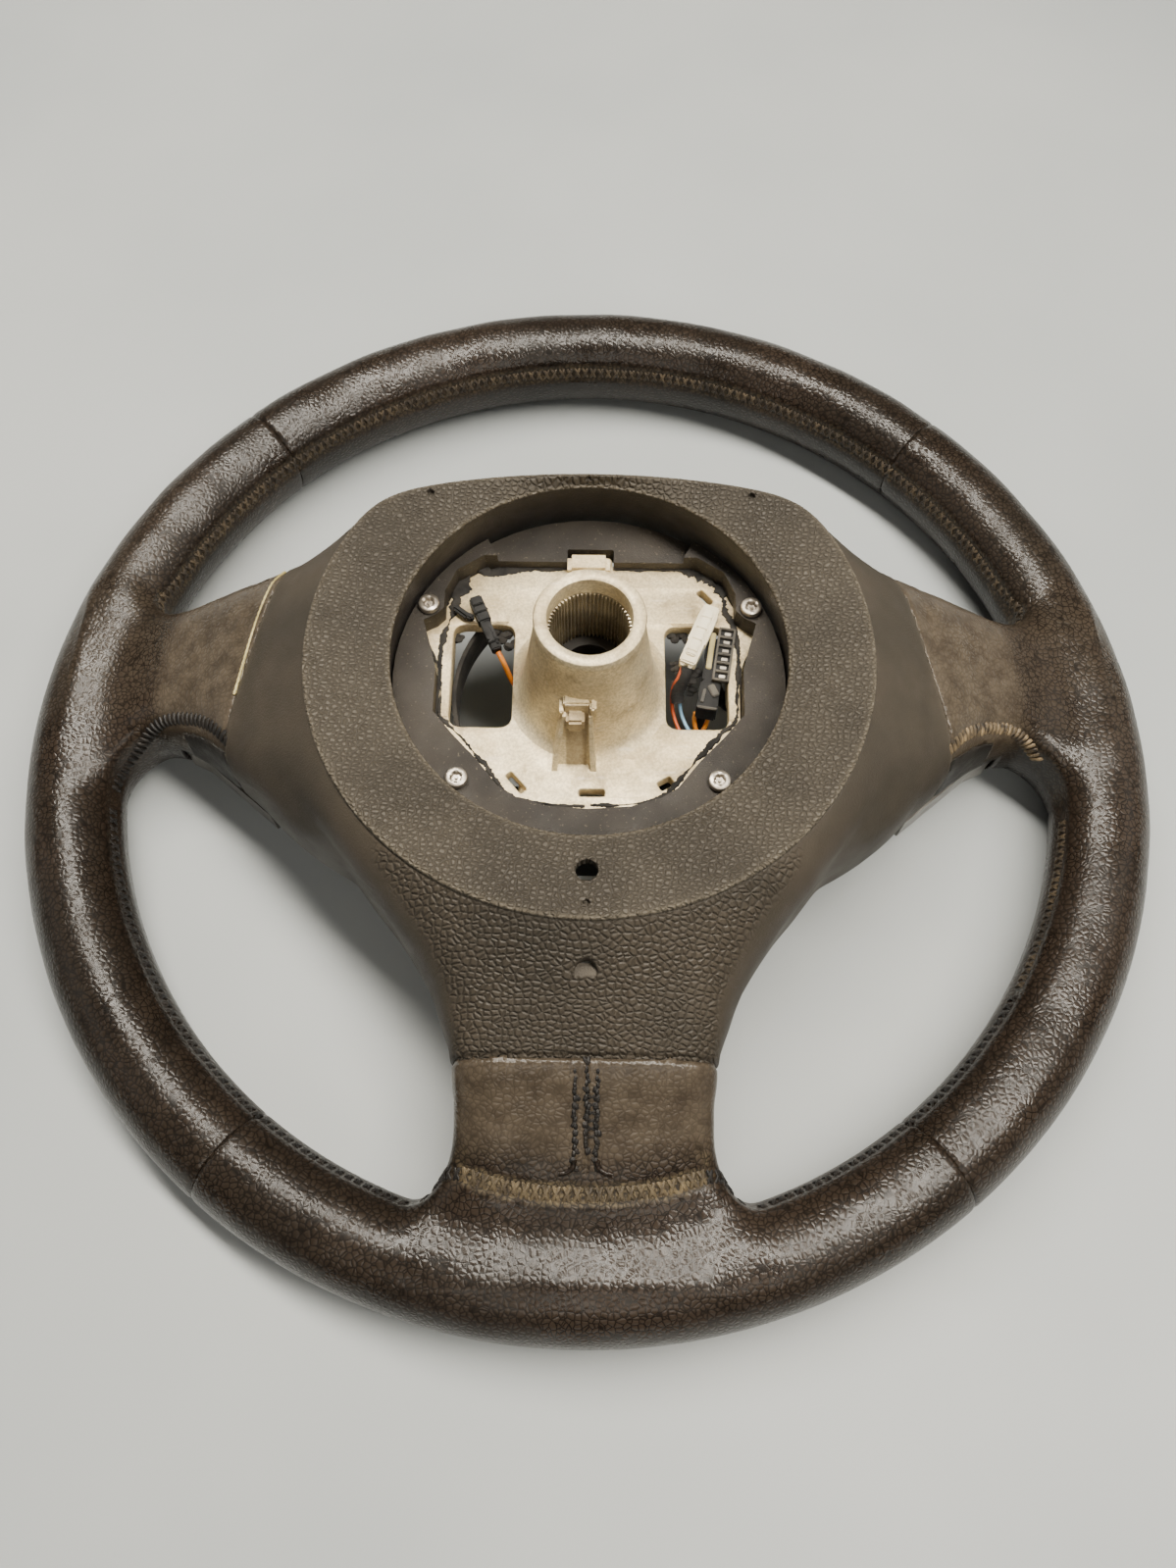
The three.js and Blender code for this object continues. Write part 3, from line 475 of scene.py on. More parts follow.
def skin_material():
    m = Shade("well_skin_plastic")
    base = m.mix(m.patches(35, 4.0), tone(33, 29, 24), tone(55, 49, 41))
    m.set(Normal=m.bump(m.noise(1700, 3.0, 0.65), 0.0004, 0.8),
          Base_Color=m.tint(base, m.patches(900, 2.0, 0.64, 0.72, rough=0.6), 0.45, (120, 110, 92)),
          Roughness=m.patches(80, 3.0, to=(0.5, 0.68)))
    return m.material


def cast_material():
    m = Shade("cast_alloy")
    soft = m.bump(m.noise(60, 3.0), 0.0009, 0.35)
    base = m.mix(m.patches(34, 5.0, 0.28, 0.74, rough=0.65), tone(208, 188, 146), tone(250, 236, 198))
    base = m.mix(m.patches(1100, 4.0, 0.38, 0.62, (0.0, 0.45), 0.7), base, tone(158, 140, 108))
    stain = m.step(m.noise(75, 6.0, 0.7, distortion=0.6), 0.5, 0.72)
    base = m.tint(base, stain, 0.6, (132, 112, 84))
    lines = m.step(m.noise(420, 3.0, 0.6, at=m.stretch(m.where, (0.22, 1.0, 1.0))), 0.60, 0.72)
    base = m.tint(base, lines, 0.3, (240, 232, 218))
    r, x, y, z = m.axis_distance()
    # Painted shade: the bore below the splines, with the ledge at its top, is painted near black and less
    # metallic.
    bore = m.times(m.step(r, 0.01286, 0.01292, 1.0, 0.0), m.step(z, 0.071, 0.0712, 1.0, 0.0))
    # Painted shade: a patch between the lug's ribs is painted darker.
    across = m.step(m.math("ABSOLUTE", m.math("ADD", x, 0.0036)), 0.0028, 0.0036, 1.0, 0.0)
    along = m.times(m.step(y, -0.0205, -0.0195, 1.0, 0.0), m.step(y, -0.0285, -0.0275))
    base = m.tint(base, m.times(across, along), 0.55, (126, 106, 76))
    m.set(Normal=m.bump(m.noise(520, 5.0, 0.7), 0.00016, 0.55, over=soft),
          Base_Color=m.mix(bore, base, tone(26, 22, 18)), Metallic=m.step(bore, 0.0, 1.0, 0.4, 0.1),
          Roughness=m.patches(120, 4.0, to=(0.42, 0.62)))
    return m.material


def machined_material():
    m = Shade("machined_alloy")
    r, _, _, z = m.axis_distance()
    lathe_marks = m.add("ShaderNodeCombineXYZ", {0: m.times(r, 5200.0), 1: m.times(z, 5200.0)})
    turned = m.noise(1.0, 2.0, 0.5, at=lathe_marks.outputs[0])
    base = m.mix(m.patches(90, 4.0), tone(172, 162, 140), tone(226, 216, 192))
    m.set(Normal=m.bump(turned, 0.00004, 0.5), Metallic=0.85,
          Base_Color=m.tint(base, m.patches(240, 5.0, 0.6, 0.72), 0.6, (120, 100, 78)),
          Roughness=m.step(turned, 0.3, 0.7, 0.24, 0.42))
    return m.material


def plastic_material(name, low, high, rough=(0.35, 0.55), grain=1600, relief=0.00008, metal=0.0, gloss=0.5):
    m = Shade(name)
    base = m.mix(m.patches(120, 4.0), tone(*low), tone(*high))
    lighter = [min(255, c * 1.3 + 6) for c in high]
    m.set(Normal=m.bump(m.noise(grain, 3.0, 0.6), relief, 0.5), Metallic=metal, Specular_IOR_Level=gloss,
          Base_Color=m.tint(base, m.patches(420, 5.0, 0.66, 0.76, rough=0.7), 0.4, lighter),
          Roughness=m.patches(200, 3.0, to=rough))
    return m.material


def thread_material(name, dark, light):
    m = Shade(name)
    base = m.mix(m.patches(300, 3.0), tone(*dark), tone(*light))
    m.set(Normal=m.bump(m.noise(2400, 3.0, 0.6), 0.0002, 0.7),
          Base_Color=m.tint(base, m.patches(60, 4.0, 0.42, 0.66), 0.6, [0.5 * c for c in dark]),
          Roughness=m.patches(500, 2.0, to=(0.5, 0.75)))
    return m.material


def foam_material():
    m = Shade("moulded_foam")
    m.set(Normal=m.bump(m.cells(700, at=m.wobble(300, 0.001)), 0.0003, 0.5),
          Base_Color=m.mix(m.patches(60, 5.0), tone(34, 32, 31), tone(58, 55, 52)),
          Roughness=m.patches(200, 3.0, to=(0.8, 0.95)))
    return m.material


def sleeve_material():
    m = Shade("woven_sleeve")
    weave = m.cells(1500, "F1", randomness=0.2)
    m.set(Normal=m.bump(weave, 0.0003, 0.8), Base_Color=m.mix(weave, tone(34, 33, 32), tone(14, 14, 14)),
          Roughness=m.patches(300, 3.0, to=(0.7, 0.9)))
    return m.material


LEATHER = leather_material()
COARSE = cover_material("cover_coarse_grain", 640, 0.00046, (62, 57, 49), (80, 74, 64))
WING = cover_material("cover_fine_grain", 600, 0.0004, (52, 47, 39), (68, 61, 51), masked=True)
WALL = wall_material()
SKIN = skin_material()
CAST = cast_material()
MACHINED = machined_material()
THREAD = thread_material("thread_ochre", (62, 52, 36), (112, 98, 72))
THREAD_FLANK = thread_material("thread_tan", (34, 27, 20), (150, 130, 98))
THREAD_TOP = thread_material("thread_brown", (38, 31, 23), (78, 66, 48))
THREAD_DARK = thread_material("thread_dark", (11, 9, 8), (30, 25, 20))
FOAM = foam_material()
SLEEVE = sleeve_material()
STEEL = plastic_material("zinc_steel", (150, 142, 130), (206, 198, 186), (0.28, 0.46), 900, 0.00006, 0.85)
BLACK = plastic_material("black_plastic", (7, 7, 7), (17, 17, 16), (0.45, 0.65), 1600, 0.0001, gloss=0.3)
IVORY = plastic_material("ivory_plastic", (224, 212, 180), (246, 237, 210), (0.35, 0.5))
ORANGE = plastic_material("orange_insulation", (206, 112, 26), (236, 150, 52), (0.3, 0.45))
BLUE = plastic_material("blue_insulation", (112, 154, 186), (150, 190, 216), (0.3, 0.45))
RED = plastic_material("red_insulation", (150, 60, 32), (196, 92, 50), (0.3, 0.45))
SILVER = plastic_material("silver_paint", (104, 101, 96), (136, 132, 126), (0.28, 0.4), 1400, 0.00004, 0.6)
BUTTON = plastic_material("button_plastic", (24, 24, 25), (38, 38, 39), (0.42, 0.6), 1900, 0.00012)
BOARD = plastic_material("board_laminate", (22, 62, 38), (34, 88, 52), (0.3, 0.45))
TRIM = plastic_material("flank_trim", (30, 28, 25), (50, 46, 41), (0.5, 0.65), 1300, 0.0003)
SPRING = plastic_material("spring_wire", (120, 116, 110), (168, 164, 156), (0.25, 0.4), 900, 0.00005, 0.9)
# A lighter copy of the black plastic for the connector's raised ladder: dust, and a painted highlight.
DUST_AND_SHEEN = plastic_material("dust_and_sheen_plastic", (44, 41, 35), (86, 80, 68), (0.35, 0.5))
GLUE = plastic_material("dried_glue", (150, 136, 84), (196, 182, 128), (0.4, 0.6), 1400, 0.0002)
RAGGED = plastic_material("foam_flash", (22, 21, 20), (52, 49, 45), (0.8, 0.95), 1300, 0.0004)


# ---------------------------------------------------------------- leather and moulded cover
def section_turn(r, z):
    """The turn round the rim's own section, in degrees: 0 outside, 90 rear, 180 inside."""
    return np.degrees(np.arctan2((z - RIM_HALF_HEIGHT) / RIM_HALF_HEIGHT, (r - RIM_RADIUS) / RIM_HALF_WIDTH))


def rim_band(r, z):
    """Distance along the rim's section from the sewn line on its inner side."""
    off = np.abs((section_turn(r, z) - BAND_TURN + 180) % 360 - 180) * math.pi / 180 * RIM_MEAN_HALF
    return off * np.where(r < 168, 1, 9)


def cut(bm, where, point, normal):
    """Adds an edge line where a plane crosses the faces that pass the test."""
    point, normal = Vector(point), Vector(normal).normalized()
    faces = [f for f in bm.faces if abs(normal.dot(f.verts[0].co - point)) < 5 and where(f.verts[0].co)]
    geom = list({v for f in faces for v in f.verts}) + list({e for f in faces for e in f.edges}) + faces
    bmesh.ops.bisect_plane(bm, geom=geom, dist=0.03, plane_co=point, plane_no=normal)


# The sewn band leaves the rim's inner side at each spoke: over the lower spoke's face, and along the
# side spokes' upper and lower flanks.
FACE_ROUTE = [(60.6, -150, 23), (50, -147.6, 27), (42, -146.2, 32), (34, -147, 36.2), (24, -150, 37),
              (12.7, -151.8, 37), (0, -152.4, 37)]
LOWER_FLANK_ROUTE = [(115, -19.5, 55.5), (120, -13.5, 53), (126, -9.5, 49.5), (133, -6.5, 45), (139, -5, 41),
                     (144, -5, 37), (148.5, -6.6, 32), (153, -10.2, 26), (157, -15, 22.5), (160.3, -22, 21.5)]
UPPER_FLANK_ROUTE = [(100.6, 44.4, 54), (108, 44, 48), (118, 43.3, 42), (128, 42.2, 37), (138, 41, 33),
                     (147, 41.6, 29), (152.5, 45.5, 26.5), (156, 52, 25)]
FLANK_DROP = 4.6


def flank_line(x):
    """The height where the side spoke's leather ends on its lower flank and dark trim begins."""
    xs, _, zs = zip(*LOWER_FLANK_ROUTE)
    return float(np.interp(x, xs, zs)) - FLANK_DROP


RIM_SEAMS = [UPPER_SEAM, 180 - UPPER_SEAM, 180 - LOWER_SEAM, LOWER_SEAM]
SIDE_SEAM_NORMAL = Vector((1, SEAM_SLOPE, 0)).normalized()


def side_seam_distance(x, y):
    return (np.abs(x) - seam_x(y)) * SIDE_SEAM_NORMAL.x


def body_skin():
    """The whole leather and plastic surface, with edge lines along every seam."""
    step = 1.7
    points, quads = surface_net((-196, -196, -4), (196, 196, 90), step)
    points = onto_surface(points)
    mesh = new_mesh("skin", points, quads)
    bm = bmesh.new()
    bm.from_mesh(mesh)
    bpy.data.meshes.remove(mesh)
    bmesh.ops.triangulate(bm, faces=[f for f in bm.faces if len(f.verts) > 4])
    offsets = ((-1.4, -0.6, 0.0, 0.6, 1.4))
    for seam in RIM_SEAMS:
        a = math.radians(seam)
        along = Vector((math.cos(a), math.sin(a), 0))
        across = Vector((-math.sin(a), math.cos(a), 0))
        for d in offsets:
            cut(bm, lambda c: along.dot(c) > 110, across * d, across)
    for side in (1, -1):
        n = Vector((side * SIDE_SEAM_NORMAL.x, SIDE_SEAM_NORMAL.y, 0))
        at = Vector((side * SEAM_TOP_X, SEAM_TOP_Y, 0))
        for d in offsets:
            cut(bm, lambda c: side * c.x > 80 and -60 < c.y < 70 and c.xy.length < 150, at + n * d, n)
    for d in offsets:
        cut(bm, lambda c: abs(c.x) < 60 and -130 < c.y < -100, (0, -LOWER_SEAM_Y + d, 0), (0, 1, 0))
    cut(bm, lambda c: side_seam_distance(c.x, c.y) < 0.5 and c.y > -118 and c.xy.length < 145,
        (0, 0, COVER_EDGE), (0, 0, 1))
    for side in (1, -1):
        for (x0, _, z0), (x1, _, z1) in zip(LOWER_FLANK_ROUTE, LOWER_FLANK_ROUTE[1:5]):
            cut(bm, lambda c: x0 - 1 < side * c.x < x1 + 1 and c.y < 4, (side * x0, 0, z0 - FLANK_DROP),
                (side * (z0 - z1), 0, x1 - x0))
        cut(bm, lambda c: 120 < side * c.x < 150 and c.y < 10 and c.z < 60,
            (side * TRIM_END, 0, 0), (1, 0, 0))
    for x in (-4.0, -3.0, -2.0, 0.2, 0.8, 1.4, 3.6, 4.6, 5.6):
        cut(bm, lambda c: c.z > 34 and -150 < c.y < -117 and abs(c.x) < 9, (x, 0, 0), (1, 0, 0))
    return bm


def groove(distance, depth, width):
    return depth * np.exp(-(distance / width) ** 2)


def shape_skin(bm):
    """Sinks the seams and lets the leather wander a little over its foam."""
    co = np.array([v.co for v in bm.verts])
    x, y, z = co.T
    r = np.hypot(x, y)
    turn = np.degrees(np.arctan2(y, x))
    n = unit(gradient(co))
    sink = np.zeros(len(co))
    for seam in RIM_SEAMS:
        off = (turn - seam + 180) % 360 - 180
        sink += groove(np.radians(off) * r, 0.45, 0.8) * (r > 140)
    side = side_seam_distance(x, y)
    on_spoke = (np.abs(x) > 80) & (r < 140)
    sink += groove(side, 0.55, 0.7) * on_spoke
    narrow = np.abs(x) < LOWER_SPOKE_HALF
    sink += groove(y + LOWER_SEAM_Y, 0.9, 0.8) * (narrow & (y < -95))
    leather = (r > 145) | (side > 0) | ((y < -LOWER_SEAM_Y) & narrow)
    past = -LOWER_SEAM_Y - 0.7 - y
    padding = smoothstep(past, 0.0, 1.2) * (1 - smoothstep(past, 3.0, 11.0))
    sink -= 0.45 * padding * narrow * (r < SPOKE_REACH)
    seam_zone = (z > 34) & (np.abs(x) < 9) & (y < -LOWER_SEAM_Y) & (y > -147)
    for line, depth, width in ((-2.6, 0.35, 0.6), (0.8, 0.7, 0.5), (3.7, 0.35, 0.6)):
        sink += groove(x - line, depth, width) * seam_zone
    near_band = np.minimum(rim_band(r, z), band_crossing(x, y, z))
    sink += 0.45 * np.exp(-(near_band / 2.6) ** 2) * leather
    sink += 0.4 * np.exp(-((near_band - 4.0) / 1.1) ** 2) * -0.6 * leather
    a = np.radians(turn)
    rear = np.clip(np.sin(np.radians(section_turn(r, z))), 0, 1)
    ripple = np.sin(a * 41 + 1.3 * np.sin(a * 7)) * 0.11 + np.sin(a * 23 + 2.1) * 0.13
    sink += ripple * (r > SPOKE_REACH) * rear
    moved = co - n * sink[:, None]
    moved[:, 2] = np.maximum(moved[:, 2], 0.0)
    for v, p in zip(bm.verts, moved):
        v.co = p


def resample(route, pitch):
    """Evenly spaced points on the smooth curve through a route."""
    route = np.array(route, float)
    n = len(route)
    fine = []
    for i in range(n - 1):
        four = [route[min(max(i + k, 0), n - 1)] for k in (-1, 0, 1, 2)]
        fine += [catmull(four, t) for t in np.linspace(0, 1, 24, endpoint=False)]
    fine = np.array(fine + [route[-1]])
    length = np.concatenate([[0], np.cumsum(np.linalg.norm(np.diff(fine, axis=0), axis=1))])
    at = np.arange(0, length[-1], pitch)
    return np.stack([np.interp(at, length, fine[:, k]) for k in range(3)], axis=1)


def mirror_route(route):
    return [(-x, y, z) for x, y, z in route]


def rim_inner(from_degrees, to_degrees, steps=24):
    t = math.radians(BAND_TURN)
    r = RIM_RADIUS + RIM_HALF_WIDTH * math.cos(t)
    z = RIM_HALF_HEIGHT * (1 + math.sin(t))
    turns = np.radians(np.linspace(from_degrees, to_degrees, steps))
    return [(r * math.cos(a), r * math.sin(a), z) for a in turns]


def band_crossing(x, y, z):
    """Distance from the band's run over the spokes, for points that may lie near it."""
    near = np.full(len(x), 99.0)
    p = np.stack([np.abs(x), y, z], axis=1)
    for route in (FACE_ROUTE, LOWER_FLANK_ROUTE, UPPER_FLANK_ROUTE):
        line = resample(route, 1.0)
        line = onto_surface(line, 3)
        low, high = line.min(0) - 8, line.max(0) + 8
        pick = np.where(np.all((p > low) & (p < high), axis=1))[0]
        if len(pick):
            gap = np.linalg.norm(p[pick][:, None, :] - line[None, :, :], axis=2).min(1)
            near[pick] = np.minimum(near[pick], gap)
    return near


def split_skin(bm):
    """Sorts the faces into pieces: returns {name: (points, faces)}."""
    bm.verts.index_update()
    co = np.array([v.co for v in bm.verts])
    groups = {}
    for f in bm.faces:
        c = f.calc_center_median()
        r = math.hypot(c.x, c.y)
        turn = math.degrees(math.atan2(c.y, c.x)) % 360
        side_leather = side_seam_distance(c.x, c.y) > 0 and -60 < c.y < 70
        lower_leather = c.y < -LOWER_SEAM_Y and abs(c.x) < LOWER_SPOKE_HALF
        under = c.y < 4 and side_leather and abs(c.x) < TRIM_END and c.z < flank_line(abs(c.x))
        if under and r < SPOKE_REACH:
            if c.z < TRIM_FOOT:
                continue
            name = "spoke_flank_trim"
        elif r > 145 or side_leather or lower_leather:
            if abs(c.x) < 139.5 and c.z < TRIM_FOOT and r < SPOKE_REACH and -60 < c.y < 70:
                continue
            if UPPER_SEAM < turn < 180 - UPPER_SEAM:
                place = "top"
            elif turn < UPPER_SEAM or turn > 360 + LOWER_SEAM:
                place = "right"
            else:
                place = "left" if turn < 180 - LOWER_SEAM else "bottom"
            name = "leather_%s_panel" % place
        else:
            a = math.radians(turn)
            if c.z < COVER_EDGE or r < float(plateau_edge(np.array(a))) - 1.2:
                continue
            name = "cover_wings"
        groups.setdefault(name, []).append([v.index for v in f.verts])
    out = {}
    for name, faces in groups.items():
        used = sorted({i for f in faces for i in f})
        renumber = {old: new for new, old in enumerate(used)}
        out[name] = (co[used], [[renumber[i] for i in f] for f in faces])
    return out


def paint(obj, name, values):
    layer = obj.data.attributes.new(name, "FLOAT", "POINT")
    layer.data.foreach_set("value", np.asarray(values, np.float32))


def smoothstep(v, low, high):
    t = np.clip((v - low) / (high - low), 0, 1)
    return t * t * (3 - 2 * t)


def add_skin():
    bm = body_skin()
    shape_skin(bm)
    parts = split_skin(bm)
    bm.free()
    for name, (points, faces) in parts.items():
        x, y, z = points.T
        r = np.hypot(x, y)
        if name == "cover_wings":
            obj = piece_from(name, points, faces, WING)
            inner = -outline_distance(x, np.maximum(y, -104))
            tongue = smoothstep(r, 85, 87) * smoothstep(-y, 60, 70)
            tongue = tongue * smoothstep(inner, 4, 7) * smoothstep(z, 43, 47)
            paint(obj, "coarse", tongue * (np.abs(x) < LOWER_SPOKE_HALF))
            seam = np.minimum(np.abs(side_seam_distance(x, y)), 9) * np.where(np.abs(x) > 70, 1, 9)
            paint(obj, "wear_and_sheen", 0.22 * np.exp(-(seam / 1.2) ** 2))
            thickness = COVER_WALL
        elif name == "spoke_flank_trim":
            obj = piece_from(name, points, faces, TRIM)
            thickness = COVER_WALL
        else:
            obj = piece_from(name, points, faces, LEATHER)
            band = np.minimum(rim_band(r, z), band_crossing(x, y, z))
            strength = 0.06 + 0.9 * (1 - smoothstep(np.abs(x), 32, 39)) * (y < -140) * (z > 30)
            strength = np.where(y > 46, 0.3, strength)
            strength = np.where((x > 100) & (y < -2) & (y > -24), 0.12, strength)
            paint(obj, "stitch_band", (1 - smoothstep(band, 2.6, 3.6)) * strength)
            turn = np.degrees(np.arctan2(y, x))
            shoulders = np.exp(-((turn - 168) / 16) ** 2) + np.exp(-((turn - 12) / 16) ** 2)
            panel = smoothstep(SPOKE_REACH - r, 0, 12)
            paint(obj, "wear_and_sheen", np.clip(0.12 + 0.25 * shoulders + 0.75 * panel, 0, 1) * smoothstep(z, 24, 33))
            thickness = LEATHER_WALL
        shell = obj.modifiers.new("shell", "SOLIDIFY")
        shell.thickness = thickness * MM
        shell.offset = -1
        shell.use_rim = True
    for place in ("top", "right", "left", "bottom"):
        piece, node = "leather_%s_panel" % place, "leather_" + place
        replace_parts(bpy.data.objects[piece], node)


add_skin()


def circle(radius, z, turns, x=0.0, y=0.0):
    """A level ring of points, whose radius may change with the turn."""
    return np.stack([x + radius * np.cos(turns), y + radius * np.sin(turns), np.full(len(turns), z)], axis=1)


def ring_strip(rings, closed_profile=True):
    """Faces over a list of closed rings of equal length."""
    points = np.concatenate(rings)
    n = len(rings[0])
    faces = []
    spans = len(rings) if closed_profile else len(rings) - 1
    for i in range(spans):
        a, b = i * n, ((i + 1) % len(rings)) * n
        for j in range(n):
            k = (j + 1) % n
            faces.append((a + j, a + k, b + k, b + j))
    return points, faces


def add_plateau():
    """The grained plateau with its lips painted lighter, as rubbed wear and as a painted highlight, and the
    smooth wall of the collar well.
    """
    n = 420
    turn = np.linspace(0, 2 * math.pi, n, endpoint=False)
    edge = plateau_edge(turn)
    profile = [(WELL_RADIUS, WALL_FOOT), (WELL_RADIUS, PAD_TOP + 1), (61.2, 72), (60.4, 78), (60.0, 80.9),
               (60.05, 81.5), (60.35, 81.9), (60.9, 82.1)]
    wall_rings = 5
    profile += [(60.9 + (edge - 1.2 - 60.9) * share, 82.1 + (PLATEAU_TOP - 82.1) * share)
                for share in np.linspace(0.04, 1, 14)]
    profile += [(edge + out, PLATEAU_TOP - drop)
                for out, drop in ((-0.5, 0.04), (-0.1, 0.22), (0.15, 0.6), (0.22, 1.4), (0.25, 4.5))]
    lip_end = len(profile)
    profile += [(edge - 2.2, PLATEAU_TOP - 4.5), (edge - 2.6, PLATEAU_TOP - 3.2), (64.6, 79.2), (64.4, 76.0),
                (64.6, WALL_FOOT)]
    points, faces = ring_strip([circle(r, z, turn) for r, z in profile])
    obj = piece_from("cover_plateau", points, faces, COARSE)
    obj.data.materials.append(WALL)
    slots = [1 if f < wall_rings * n or f >= lip_end * n else 0 for f in range(len(faces))]
    obj.data.polygons.foreach_set("material_index", slots)
    # The collar's top lip and the plateau's outer lip are painted lighter: partly rubbed wear, partly a
    # painted highlight along their edges.
    worn_and_sheen = np.zeros(len(profile))
    worn_and_sheen[4:8] = (0.05, 0.2, 0.25, 0.1)
    worn_and_sheen[lip_end - 6:lip_end - 1] = (0.05, 0.2, 0.3, 0.25, 0.1)
    paint(obj, "wear_and_sheen", np.repeat(worn_and_sheen, n))
    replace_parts(obj, "rear_cover")
    return obj


def drill(obj, holes, name):
    """Round holes and pits: each is (x, y, radius, low z, high z)."""
    bm = bmesh.new()
    for x, y, radius, low, high in holes:
        made = bmesh.ops.create_cone(bm, cap_ends=True, segments=32, radius1=radius, radius2=radius,
                                     depth=high - low)
        bmesh.ops.translate(bm, vec=(x, y, (low + high) / 2), verts=made["verts"])
    mesh = bpy.data.meshes.new(name)
    bmesh.ops.scale(bm, vec=(MM, MM, MM), verts=bm.verts)
    bm.to_mesh(mesh)
    bm.free()
    tool = add_object(name, mesh)
    cutter = obj.modifiers.new("holes", "BOOLEAN")
    cutter.object = tool
    cutter.operation = "DIFFERENCE"
    cutter.solver = "EXACT"
    bpy.context.view_layer.objects.active = obj
    for other in scene.objects:
        other.select_set(other == obj)
    for modifier in list(obj.modifiers):
        bpy.ops.object.modifier_apply(modifier=modifier.name)
    bpy.data.objects.remove(tool)


drill(add_plateau(), [(0, -71, 3.2, 70, 90), (0, -81, 1.1, 83.3, 90), (51, 55, 1.1, 83.3, 90),
                      (-51, 55, 1.1, 83.3, 90), (-1, 61, 1.1, 83.3, 90)], "plateau_drill")
wings = bpy.data.objects["cover_wings"]
pit = np.mean([v.co.z / MM for v in wings.data.vertices
               if math.hypot(v.co.x / MM, v.co.y / MM - DIMPLE_Y) < 3])
drill(wings, [(0, DIMPLE_Y, 3.1, pit - 0.9, 90)], "dimple_drill")


# ---------------------------------------------------------------- cast armature
PLATE_HALF = [
    (13, -44), (22, -41.2), (27, -38), (34, -29), (41.5, -21), (48, -13), (48.3, 3), (50.2, 10), (55.4, 20.4),
    (56.2, 24.6), (53.4, 28.6), (49.6, 28.2), (46.8, 31), (43.5, 38.8), (35, 44.5), (7.6, 44.5), (7.2, 49.5),
]
SLOTS = [(-22.2, -33.6, 8, 2.4, -50), (1.2, -36.8, 8, 2.4, 0), (24.0, -33.4, 4.8, 3.2, 30),
         (38, 34.2, 6.2, 2.4, -51)]
WINDOW = (24.4, 44.3, -14.7, 22.7, 3.5)
SIDE_ARM = [(44.6, 9, 52, 12, 3.4), (58, 10, 51, 12, 4), (84, 14, 47, 11, 4.2), (116, 17.5, 40, 10, 4.2),
            (142, 18, 31, 9, 4.2), (160, 18, 22, 9, 4.4), (176.7, 18, 17, 9, 4.2)]
LOWER_ARM = [(32, 15, 52, 7, 3.4), (50, 15.5, 51.3, 7, 3.8), (84, 17, 49, 6.5, 4), (112, 18, 43, 6.5, 4),
             (140, 18, 29, 6.5, 4.2), (162, 18, 19, 6.5, 4.4), (175.7, 18, 17, 6.5, 4.2)]


def rounded_polygon(points, radius=1.2, steps=4):
    """The same corners, each cut back and turned over a small arc."""
    out = []
    n = len(points)
    for i in range(n):
        p, q, s = (np.array(points[(i + k) % n], float) for k in (-1, 0, 1))
        a, b = p - q, s - q
        reach = min(radius, 0.45 * np.linalg.norm(a), 0.45 * np.linalg.norm(b))
        a, b = q + a / np.linalg.norm(a) * reach, q + b / np.linalg.norm(b) * reach
        for t in np.linspace(0, 1, steps):
            out.append((1 - t) ** 2 * a + 2 * t * (1 - t) * q + t * t * b)
    return out


def rectangle(x, y, length, width, degrees):
    c, s = math.cos(math.radians(degrees)), math.sin(math.radians(degrees))
    u, v = length / 2, width / 2
    return [(x + p * c - q * s, y + p * s + q * c) for p, q in ((-u, -v), (u, -v), (u, v), (-u, v))]


def plate_outline():
    half = PLATE_HALF
    return rounded_polygon([(0, -45), *half, *[(-x, y) for x, y in reversed(half)]], 2.0)


def flat_solid(name, outlines, low, high, bevel, material):
    """A plate cut from closed outlines, the first its edge and the rest its holes, with bevelled edges."""
    curve = bpy.data.curves.new(name, "CURVE")
    curve.dimensions = "2D"
    curve.fill_mode = "BOTH"
    curve.extrude = ((high - low) / 2 - bevel) * MM
    curve.bevel_depth = bevel * MM
    curve.bevel_resolution = 2
    curve.offset = -bevel * MM
    for outline in outlines:
        spline = curve.splines.new("POLY")
        spline.points.add(len(outline) - 1)
        for point, (x, y) in zip(spline.points, outline):
            point.co = (x * MM, y * MM, 0, 1)
        spline.use_cyclic_u = True
    maker = add_object(name + "_maker", curve)
    bpy.context.view_layer.update()
    mesh = bpy.data.meshes.new_from_object(maker.evaluated_get(bpy.context.evaluated_depsgraph_get()))
    bpy.data.objects.remove(maker)
    bpy.data.curves.remove(curve)
    mesh.transform(Matrix.Translation((0, 0, (low + high) / 2 * MM)))
    mesh.name = name
    mesh.materials.clear()
    mesh.materials.append(material)
    obj = add_object(name, mesh)
    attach(obj, "wheel")
    soften(obj)
    return obj


def soften(obj, angle=38):
    """Smooth shading that keeps edges sharper than the angle."""
    obj.data.shade_smooth()
    bm = bmesh.new()
    bm.from_mesh(obj.data)
    bmesh.ops.remove_doubles(bm, verts=bm.verts, dist=0.00001)
    for edge in bm.edges:
        if len(edge.link_faces) == 2:
            edge.smooth = edge.calc_face_angle(0) < math.radians(angle)
    bm.to_mesh(obj.data)
    bm.free()


def lathe(profile, sides=96, x=0.0, y=0.0, ripple=None):
    """Points and faces of a turned ring whose profile is closed, or which starts and ends on the axis."""
    turn = np.linspace(0, 2 * math.pi, sides, endpoint=False)
    rings = []
    for i, (r, z) in enumerate(profile):
        radius = np.full(sides, max(r, 0.0005))
        if ripple and i in ripple:
            radius = radius + ripple[i] * np.cos(6 * turn)
        rings.append(circle(radius, z, turn, x, y))
    return ring_strip(rings)


